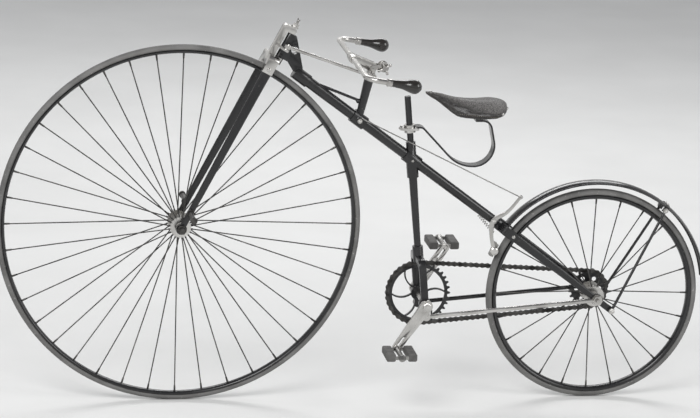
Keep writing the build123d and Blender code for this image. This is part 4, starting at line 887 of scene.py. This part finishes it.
saddle = free_copy("saddle", "leather_saddle")
edit(saddle)
bpy.ops.mesh.remove_doubles(threshold=merge_distance)
bpy.ops.object.mode_set(mode="OBJECT")
remesh = saddle.modifiers.new("even_cells", "REMESH")
remesh.mode = "VOXEL"
remesh.voxel_size = stuffing_voxel
bpy.ops.object.modifier_apply(modifier=remesh.name)
for point in saddle.data.vertices:
    point.co = on_leather(point.co)
edit(saddle)
bpy.ops.mesh.vertices_smooth(factor=smoothing_share, repeat=smoothing_rounds)
bpy.ops.transform.shrink_fatten(value=-stuffing_draw_in)
bpy.ops.object.mode_set(mode="OBJECT")
before = [point.co.copy() for point in saddle.data.vertices]
cloth = saddle.modifiers.new("stuffing", "CLOTH")
cloth.settings.use_pressure = True
cloth.settings.uniform_pressure_force = stuffing_pressure
cloth.settings.effector_weights.gravity = 0.0
cloth.settings.mass = leather_mass
for step in range(1, stuffing_frames + 1):
    bpy.context.scene.frame_set(step)
bpy.ops.object.modifier_apply(modifier=cloth.name)
bpy.context.scene.frame_set(1)
for point, start in zip(saddle.data.vertices, before):
    move = point.co - start
    if move.length > stuffing_cap:
        point.co = start + move.normalized() * stuffing_cap
rounding = saddle.modifiers.new("rounding", "SUBSURF")
rounding.levels = 1
rounding.render_levels = 1
bpy.ops.object.modifier_apply(modifier=rounding.name)
settle(saddle, leather, "frame", "leather", "saddle", crease=75)
print("saddle", len(saddle.data.polygons), "faces")

# %% [markdown]
# Waxed thread runs along the lower edge of each flap, and domed nails hold the leather at the rear and the
# nose. A stitch is a small spindle, turned once. A ray shot at the leather from the side finds where each
# one lies.

# %% Stitches and saddle nails
stitch_pitch = 0.0055
stitch_length = 0.0038
stitch_radius = 0.0007
stitch_line = -0.037
stitch_front = -0.030
stitch_count = 20
shot_start = 0.2
stitch = turned("stitch", (-stitch_length / 2, 0, 0), (1, 0, 0), [
    (0, stitch_radius * 0.3),
    (stitch_length * 0.25, stitch_radius),
    (stitch_length * 0.75, stitch_radius),
    (stitch_length, stitch_radius * 0.3),
], 6)
stitches = []
for sign in (-1, 1):
    for index in range(stitch_count):
        origin = Vector((stitch_front + index * stitch_pitch, sign * shot_start, stitch_line))
        hit, place, *_ = saddle.ray_cast(origin, Vector((0, -sign, 0)))
        if hit:
            stitches.append(copy_at(stitch, Matrix.Translation(place)))
bpy.data.objects.remove(stitch)
thread_line = joined("saddle_stitches", stitches)
settle(thread_line, thread, "frame", "leather")

nail_radius = 0.0048
nail = turned("nail", (0, 0, 0), (0, 0, 1), [
    (-0.002, nail_radius),
    (0.0005, nail_radius),
    (0.0016, nail_radius * 0.8),
    (0.0024, nail_radius * 0.4),
], 14)
nail_shots = [
    # where the ray starts, and which way it goes
    ((-0.108, 0.0, 0.2), (0, 0, -1)),
    ((0.3, 0.0, -0.022), (-1, 0, 0)),
    ((0.3, 0.030, -0.024), (-1, 0, 0)),
    ((0.3, -0.030, -0.024), (-1, 0, 0)),
    ((0.085, 0.3, -0.030), (0, -1, 0)),
    ((0.085, -0.3, -0.030), (0, 1, 0)),
]
nails = []
for origin, way in nail_shots:
    hit, place, normal, _ = saddle.ray_cast(Vector(origin), Vector(way))
    if hit:
        lean = normal.to_track_quat("Z", "Y").to_matrix().to_4x4()
        nails.append(copy_at(nail, Matrix.Translation(place) @ lean))
bpy.data.objects.remove(nail)
saddle_nails = joined("saddle_nails", nails)
settle(saddle_nails, nickel, "frame", "bright")
print(len(stitches), "stitches and", len(nails), "nails")

# %% [markdown]
# ## Grips
#
# The handles are pear-shaped horn on the bar's ends, each with a bright ferrule at its neck. Each is turned
# along the bar's own direction, with two shallow rings cut near the neck.

# %% Horn grips
bar_way = Vector((0.115, 0, -0.018)).normalized()
grip_length = 0.092
grip_start = Vector((-0.2748, 0.275, 0.1022))
grip_profile = [
    # share of the length, radius
    (0.02, 0.0100), (0.10, 0.0104), (0.13, 0.0096), (0.16, 0.0104), (0.19, 0.0096), (0.22, 0.0104),
    (0.34, 0.0112), (0.45, 0.0126), (0.53, 0.0146), (0.60, 0.0166), (0.67, 0.0185), (0.74, 0.0196),
    (0.80, 0.0199), (0.86, 0.0187), (0.91, 0.0157), (0.95, 0.0121), (0.98, 0.0070), (0.99, 0.0025),
]
ferrule_profile = [
    # distance along the bar, radius
    (-0.006, 0.0088), (-0.004, 0.0112), (-0.001, 0.0112), (0.001, 0.0104), (0.006, 0.0104), (0.007, 0.0112),
    (0.009, 0.0112), (0.010, 0.0096),
]
for name, sign in (("left", -1), ("right", 1)):
    start = Vector((grip_start.x, sign * grip_start.y, grip_start.z))
    steps = [(share * grip_length, radius) for share, radius in grip_profile]
    grip = turned(f"horn_grip_{name}", start, bar_way, steps, 28)
    settle(grip, horn, "handlebar", "horn", f"grip_{name}", crease=40)
    ferrule = turned(f"grip_ferrule_{name}", start, bar_way, ferrule_profile, 24)
    settle(ferrule, nickel, "handlebar", "bright")
print("two grips with ferrules")

# %% [markdown]
# ## Pedals
#
# Each pedal holds two blocks of ribbed rubber. A block is added at its size, divided across into even
# slices, and every second pair of rings of points is drawn in, which leaves the ribs. Its long edges are
# bevelled first. The blocks are threaded on two flat straps, and a turned barrel with a pointed cap joins
# the straps.

# %% Ribbed blocks and cages
block_half_width = 0.013
block_overhang = 0.0042
block_corner = 0.42
block_end = 0.84
block_end_start = 0.97
rib_cuts = 21
rib_draw = 0.88
strap_half_height = 0.0048
strap_thickness = 0.0035
strap_end = 0.9
barrel_radius = 0.0085
barrel_profile = [
    # share of the way to the barrel's end, share of its radius
    (-1.0, 1.0), (-0.9, 1.1), (-0.8, 0.85), (0.8, 0.85), (0.9, 1.1), (1.0, 1.2),
]
cap_profile = [
    # distance from the barrel's end, share of its radius
    (0.004, 1.2), (0.007, 1.0), (0.013, 0.5), (0.0178, 0.16),
]


def ribbed_block(name, place, half):
    """A long rubber block with ribs across it."""
    bpy.ops.mesh.primitive_cube_add(size=2, location=place, scale=half)
    piece = added(name)
    edit(piece)
    pick_edges(piece, lambda a, b: abs(a.y - b.y) > half.y)
    bpy.ops.mesh.bevel(offset=half.z * block_corner, segments=3, affect="EDGES")
    pick_edges(piece, lambda a, b: abs(a.y - b.y) > half.y)
    bpy.ops.mesh.subdivide(number_cuts=rib_cuts)
    slice_length = 2 * half.y / (rib_cuts + 1)
    pick_points(piece, lambda co: round((co.y - place.y + half.y) / slice_length) % 4 in (2, 3)
                and abs(co.y - place.y) < half.y * block_end_start)
    bpy.ops.transform.resize(value=(rib_draw, 1, rib_draw), center_override=place)
    pick_points(piece, lambda co: abs(co.y - place.y) > half.y * block_end_start)
    bpy.ops.transform.resize(value=(block_end, 1, block_end), center_override=place)
    leave()
    return piece


def pedal_cage(name, middle, half, out):
    """A barrel with a strap across each end, closed outside by a pointed cap."""
    shapes = []
    for end in (-1, 1):
        bpy.ops.mesh.primitive_cube_add(
            size=2, location=middle + Vector((0, end * (half.y + strap_thickness / 2), 0)),
            scale=(half.x - strap_half_height, strap_thickness / 2, strap_half_height))
        strap = added(f"{name}_strap")
        edit(strap)
        pick_edges(strap, lambda a, b: abs(a.y - b.y) > strap_thickness / 2)
        bpy.ops.mesh.bevel(offset=strap_half_height * strap_end, segments=4, affect="EDGES")
        leave()
        shapes.append(strap)
    reach = half.y + strap_thickness
    profile = [(share * reach, size * barrel_radius) for share, size in barrel_profile]
    profile += [(reach + distance, size * barrel_radius) for distance, size in cap_profile]
    shapes.append(turned(f"{name}_barrel", middle, out, profile, 20))
    return joined(name, shapes)


for name in ("left", "right"):
    middle = box_middle(f"pedal_{name}_rubbers")
    half = box_half(f"pedal_{name}_rubbers")
    block = Vector((block_half_width, half.y + block_overhang, half.z))
    aside = Vector((half.x - block_half_width, 0, 0))
    blocks = [ribbed_block(f"{name}_block", middle + aside * sign, block) for sign in (-1, 1)]
    rubbers = joined(f"pedal_blocks_{name}", blocks)
    settle(rubbers, pedal_rubber, f"pedal_{name}", "rubber", f"pedal_{name}_rubbers")
    cage = pedal_cage(f"pedal_cage_{name}", middle, half, Vector((0, middle.y, 0)))
    settle(cage, steel, f"pedal_{name}", "steel", f"pedal_{name}")
print("four ribbed blocks of", rib_cuts, "cuts")

# %% [markdown]
# ## Brake return spring
#
# The spring is a close coil between the backbone and the brake's lower arm. A small circle of wire is set
# beside an axis, and a Screw modifier winds it. The wound coil is then laid along the line from the top to
# the foot of the spring's plain solid, which its own points give.

# %% Coil spring
spring_wire = 0.0010
spring_coil_radius = 0.0042
spring_turns = 9
spring_steps = 18
spring_points = (point.co.copy() for point in nodes["brake_spring"].data.vertices)
spring_places = sorted(spring_points, key=lambda co: co.z)
spring_ends = 24
spring_foot = sum(spring_places[:spring_ends], Vector()) / spring_ends
spring_top = sum(spring_places[-spring_ends:], Vector()) / spring_ends
spring_line = spring_top - spring_foot
bpy.ops.mesh.primitive_circle_add(
    vertices=wire_sides, radius=spring_wire, location=(spring_coil_radius, 0, 0), rotation=(pi / 2, 0, 0))
coil = added("brake_coil")
winding = coil.modifiers.new("winding", "SCREW")
winding.axis = "Z"
winding.angle = 2 * pi
winding.iterations = spring_turns
winding.screw_offset = spring_line.length / spring_turns
winding.steps = spring_steps
winding.render_steps = spring_steps
bpy.ops.object.modifier_apply(modifier=winding.name)
edit(coil)
bpy.ops.mesh.remove_doubles(threshold=fine_merge_distance)
leave()
coil_way = spring_line.to_track_quat("Z", "Y").to_matrix().to_4x4()
coil.data.transform(Matrix.Translation(spring_foot) @ coil_way)
settle(coil, steel, "frame", "steel", "brake_spring", crease=60)
print("spring of", spring_turns, "turns,", round(spring_line.length * 1000, 1), "mm long")

# %% [markdown]
# ## Rolled edges of the mudguard
#
# The guard's sheet is rolled over a wire along both edges, which keeps it stiff and safe to touch. A small
# circle at the guard's front end is spun along the edge to its rear end.

# %% Guard beads
rear_centre = box_middle("rear_tyre")
guard_edge_radius = 0.3228
guard_edge_y = 0.0226
guard_front = radians(141.6)
guard_sweep = radians(133.6)
bead_radius = 0.0021
bead_steps = 96


def guard_bead(name, sign):
    """One rolled edge from the front of the guard to its rear."""
    out = Vector((cos(guard_front), 0, sin(guard_front)))
    tangent = Vector((-sin(guard_front), 0, cos(guard_front)))
    place = rear_centre + out * guard_edge_radius + Vector((0, sign * guard_edge_y, 0))
    bpy.ops.mesh.primitive_circle_add(
        vertices=wire_sides, radius=bead_radius, fill_type="NGON", location=place,
        rotation=tangent.to_track_quat("Z", "Y").to_euler())
    piece = added(name)
    edit(piece)
    bpy.ops.mesh.spin(steps=bead_steps, angle=guard_sweep, center=rear_centre, axis=(0, -1, 0))
    leave()
    return piece


beads = joined("guard_beads", [guard_bead("bead_left", -1), guard_bead("bead_right", 1)])
settle(beads, enamel, "frame", "enamel", crease=60)
print("guard beads", len(beads.data.polygons), "faces")

# %% [markdown]
# At its front the guard runs down onto the rear fork's crown. Its solid stops a little short of that, so a
# short tongue of the same sheet closes the way. A grid is laid on the guard's own curve, and Solidify gives
# it its thickness.

# %% Guard tongue
tongue_thickness = 0.0018
sheet_front = radians(139.0)
tongue_overlap = radians(1.0)
tongue_start = sheet_front - tongue_overlap
tongue_end = guard_front
guard_ridge_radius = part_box("mudguard")[1][2] - rear_centre.z - tongue_thickness


def on_guard(turn, across):
    """A place on the guard's sheet, from one edge at -1 to the other at 1."""
    reach = guard_edge_radius + (guard_ridge_radius - guard_edge_radius) * (1 - across * across)
    return rear_centre + Vector((cos(turn) * reach, across * guard_edge_y, sin(turn) * reach))


bpy.ops.mesh.primitive_grid_add(x_subdivisions=6, y_subdivisions=16, size=2)
tongue = added("guard_tongue")
for point in tongue.data.vertices:
    share = (point.co.x + 1) / 2
    point.co = on_guard(tongue_start + (tongue_end - tongue_start) * share, point.co.y)
wall = tongue.modifiers.new("wall", "SOLIDIFY")
wall.thickness = tongue_thickness
wall.offset = 0
bpy.ops.object.modifier_apply(modifier=wall.name)
edit(tongue)
leave()
settle(tongue, enamel, "frame", "enamel")
print("guard tongue to", round(guard_ridge_radius * 1000, 1), "mm")

# %% [markdown]
# ## Brake lever
#
# The lever is a curved strip, wider at its pivot, with an eye for the pull rod at its tip and a round boss
# on the shoe's stud at its foot. A grid one cell wide is laid along a smooth line through five places,
# extruded to the strip's thickness and rounded. The eye and the boss are turned.

# %% Curved brake lever
lever_near_face = Vector((0, -0.021, 0))
lever_thickness = 0.005
lever_runs = 4
lever_cuts = 40
lever_step = 0.01
lever_edge = 0.0014
boss_radius = 0.0115
eye_radius = 0.0058
pivot_reach = 0.368
foot_reach = 0.3185
tip_reach = 0.3622
backbone_turn = 143.88
foot_turn = 155.98
tip_turn = 127.98
sag = Vector((0.002, 0, -0.008))
bow = Vector((-0.007, 0, 0))
left = Vector((0, -1, 0))


def from_rear_axle(reach, turn):
    """A place in the middle plane, at a distance and an angle in degrees from the rear axle."""
    return rear_centre + Vector((cos(radians(turn)), 0, sin(radians(turn)))) * reach


lever_pivot = from_rear_axle(pivot_reach, backbone_turn)
lever_foot = from_rear_axle(foot_reach, foot_turn)
lever_tip = from_rear_axle(tip_reach, tip_turn)
lever_sag = (lever_tip + lever_pivot) / 2 + sag
lever_bow = (lever_pivot + lever_foot) / 2 + bow
lever_sections = [
    # place along the lever, x, z, half width
    (0, lever_tip.x, lever_tip.z, 0.0040),
    (1, lever_sag.x, lever_sag.z, 0.0048),
    (2, lever_pivot.x, lever_pivot.z, 0.0074),
    (3, lever_bow.x, lever_bow.z, 0.0052),
    (4, lever_foot.x, lever_foot.z, 0.0056),
]


def on_lever(along, across):
    """A place on the strip's inner face, from one edge at -1 to the other at 1."""

    def on_line(place):
        return Vector((flowing(lever_sections, place, 1), 0, flowing(lever_sections, place, 2)))

    ahead = on_line(min(along + lever_step, lever_runs))
    behind = on_line(max(along - lever_step, 0))
    way = (ahead - behind).normalized()
    aside = Vector((-way.z, 0, way.x)) * flowing(lever_sections, along, 3)
    return on_line(along) + aside * across + lever_near_face


bpy.ops.mesh.primitive_grid_add(x_subdivisions=lever_cuts, y_subdivisions=1, size=2)
strip = added("lever_strip")
for point in strip.data.vertices:
    point.co = on_lever((point.co.x + 1) / 2 * lever_runs, point.co.y)
edit(strip)
bpy.ops.mesh.extrude_region_move(TRANSFORM_OT_translate={"value": tuple(left * lever_thickness)})
leave()
round_edges(strip, lever_edge)
boss = turned("lever_boss", lever_foot + lever_near_face, left, [
    (0.0005, boss_radius * 0.9), (0.0015, boss_radius), (0.0065, boss_radius), (0.0085, boss_radius * 0.8),
    (0.0100, boss_radius * 0.35),
], 24)
eye = turned("lever_eye", lever_tip + lever_near_face, left, [
    (-0.0004, eye_radius * 0.9), (0.0004, eye_radius), (0.0046, eye_radius), (0.0056, eye_radius * 0.8),
], 20)
lever = joined("curved_brake_lever", [strip, boss, eye])
settle(lever, nickel, "frame", "bright", "brake_lever")
print("brake lever", len(lever.data.polygons), "faces")

# %% [markdown]
# ## Broken edges
#
# The forged and filed pieces have no sharp edges: a file has broken them, and they catch the light. The
# solids have sharp ones. A copy of such a solid is merged, its flat triangles are dissolved into whole
# faces, and every edge that turns sharply is rounded. The copy then stands for its solid.

# %% Forged pieces with rounded edges
flat_turn = radians(1)
forgings = [
    # solid, body, finish, slot, width of the rounding
    ("fork_head", "fork", nickel, "bright", 0.0040),
    ("handlebar_stem", "handlebar", nickel, "bright", 0.0025),
    ("neck", "frame", enamel, "enamel", 0.0030),
    ("post_lug", "frame", enamel, "enamel", 0.0020),
    ("crank_yoke", "frame", enamel, "enamel", 0.0020),
    ("crank_left", "crank", nickel, "bright", 0.0018),
    ("crank_right", "crank", nickel, "bright", 0.0018),
]


def forged(node, width):
    """A copy of a solid with its sharp edges rounded."""
    piece = free_copy(node, f"forged_{node}")
    edit(piece)
    bpy.ops.mesh.remove_doubles(threshold=fine_merge_distance)
    bpy.ops.mesh.dissolve_limited(angle_limit=flat_turn)
    bpy.ops.object.mode_set(mode="OBJECT")
    round_edges(piece, width)
    return piece


for node, body, material, slot, width in forgings:
    piece = forged(node, width)
    settle(piece, material, body, slot, node)
    print(node, len(piece.data.polygons), "faces")

# %% [markdown]
# ## Nuts, screws and rivets
#
# What holds the pieces together is small but shows all over the machine. A nut is a washer, a six-sided
# block with its corners taken off, and the rounded end of its stud. A rivet is a low dome. Each has its
# place and direction in a table, and the ones on one body are joined into one piece.

# %% Nut, rivet and oil cup
washer = 0.0012


def nut(place, way, radius, height, stud):
    """Washer, hexagon and stud end."""
    top = washer + height
    washer_profile = [(0, radius * 1.2), (washer, radius * 1.2)]
    hexagon_profile = [(washer, radius * 0.9), (washer + height * 0.15, radius),
                       (washer + height * 0.85, radius), (top, radius * 0.88)]
    stud_profile = [(washer + height * 0.9, radius * 0.5), (top + stud, radius * 0.5),
                    (top + stud * 1.4, radius * 0.34)]
    return [
        turned("washer", place, way, washer_profile, 18),
        turned("hexagon", place, way, hexagon_profile, 6),
        turned("stud", place, way, stud_profile, 12),
    ]


def dome(place, way, radius):
    """A rivet head."""
    profile = [(-0.002, radius), (0.0003, radius), (radius * 0.35, radius * 0.82),
               (radius * 0.55, radius * 0.42)]
    return [turned("rivet_head", place, way, profile, 14)]


def oiler(place, way):
    """A small oil cup with a lid."""
    profile = [(-0.002, 0.0030), (0.004, 0.0030), (0.005, 0.0046), (0.010, 0.0046),
               (0.0105, 0.0052), (0.012, 0.0052), (0.0135, 0.0028)]
    return [turned("oil_cup", place, way, profile, 14)]


print("nut, rivet and oil cup ready")

# %% Fasteners
clip_turn = 52
clip_way = Vector((cos(radians(clip_turn)), 0, sin(radians(clip_turn))))
fork_rake = radians(27)
fork_way = Vector((sin(fork_rake), 0, cos(fork_rake)))
forward = Vector((-1, 0, 0))
upward_way = Vector((0, 0, 1))
tail_reach = -0.053
ear_reach = 0.315
band_reach = 0.3335
cheek_reach = 0.303
fork_cheek_rise = 0.504
pivot_face = 0.0261
clamp_reach = 0.022
hub_place = box_middle("front_tyre")
crank_place = box_middle("crank_axle")
stay_stud = crank_place + Vector((0.0039, 0, -0.0358))
stay_face = -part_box("chain_stay_left")[0][1]
lug_place = box_middle("post_lug")
lug_place.y = 0
pulley_place = box_middle("brake_pulley")
pulley_place.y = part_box("brake_pulley")[0][1]
clamp_front = box_middle("saddle_clamp") + forward * clamp_reach
bar_eye = Vector((-0.279845, -0.045, 0.068292))
bar_axis = Vector((0.212912, 0.033282, 0.976509))
eye_half = 0.0052
paired_nuts = [
    # body, middle, distance to each side, radius, height, end of the stud
    ("frame", stay_stud, stay_face, 0.0078, 0.0022, 0.0003),
    ("frame", from_rear_axle(tail_reach, backbone_turn), 0.0827, 0.0070, 0.0040, 0.0016),
    ("frame", from_rear_axle(ear_reach, clip_turn), 0.0345, 0.0062, 0.0040, 0.0016),
    ("crank", crank_place, 0.1012, 0.0125, 0.0060, 0.0010),
]
single_nuts = [
    # body, place, direction, radius, height, end of the stud
    ("frame", lever_pivot + left * pivot_face, left, 0.0070, 0.0045, 0.0020),
    ("frame", pulley_place, left, 0.0056, 0.0036, 0.0014),
    ("frame", clamp_front, forward, 0.0062, 0.0050, 0.0020),
    ("handlebar", bar_eye + bar_axis * eye_half, bar_axis, 0.0050, 0.0032, 0.0012),
]
paired_rivets = [
    # body, middle, distance to each side, radius, direction or None for straight out
    ("frame", from_rear_axle(cheek_reach, backbone_turn), 0.0575, 0.0058, None),
    ("frame", lug_place, 0.0190, 0.0042, None),
    ("frame", from_rear_axle(band_reach, clip_turn), 0.0130, 0.0034, clip_way),
    ("fork", hub_place + fork_way * fork_cheek_rise, 0.0570, 0.0058, None),
]
oil_cups = [
    # body, place on its hub
    ("front_wheel", hub_place + Vector((0, 0, 0.015))),
    ("rear_wheel", rear_centre + Vector((0, -0.007, 0.015))),
]
fittings = {"frame": [], "fork": [], "front_wheel": [], "rear_wheel": [], "handlebar": [], "crank": []}
for out in (left, -left):
    for body, middle, distance, radius, way in paired_rivets:
        fittings[body] += dome(middle + out * distance, out if way is None else way, radius)
    for body, middle, distance, *sizes in paired_nuts:
        fittings[body] += nut(middle + out * distance, out, *sizes)
for body, *values in single_nuts:
    fittings[body] += nut(*values)
for body, place in oil_cups:
    fittings[body] += oiler(place, upward_way)
for body, shapes in fittings.items():
    piece = joined(f"{body}_fasteners", shapes)
    settle(piece, nickel, body, "bright", crease=30)
    print(body, "fasteners", len(piece.data.polygons), "faces")
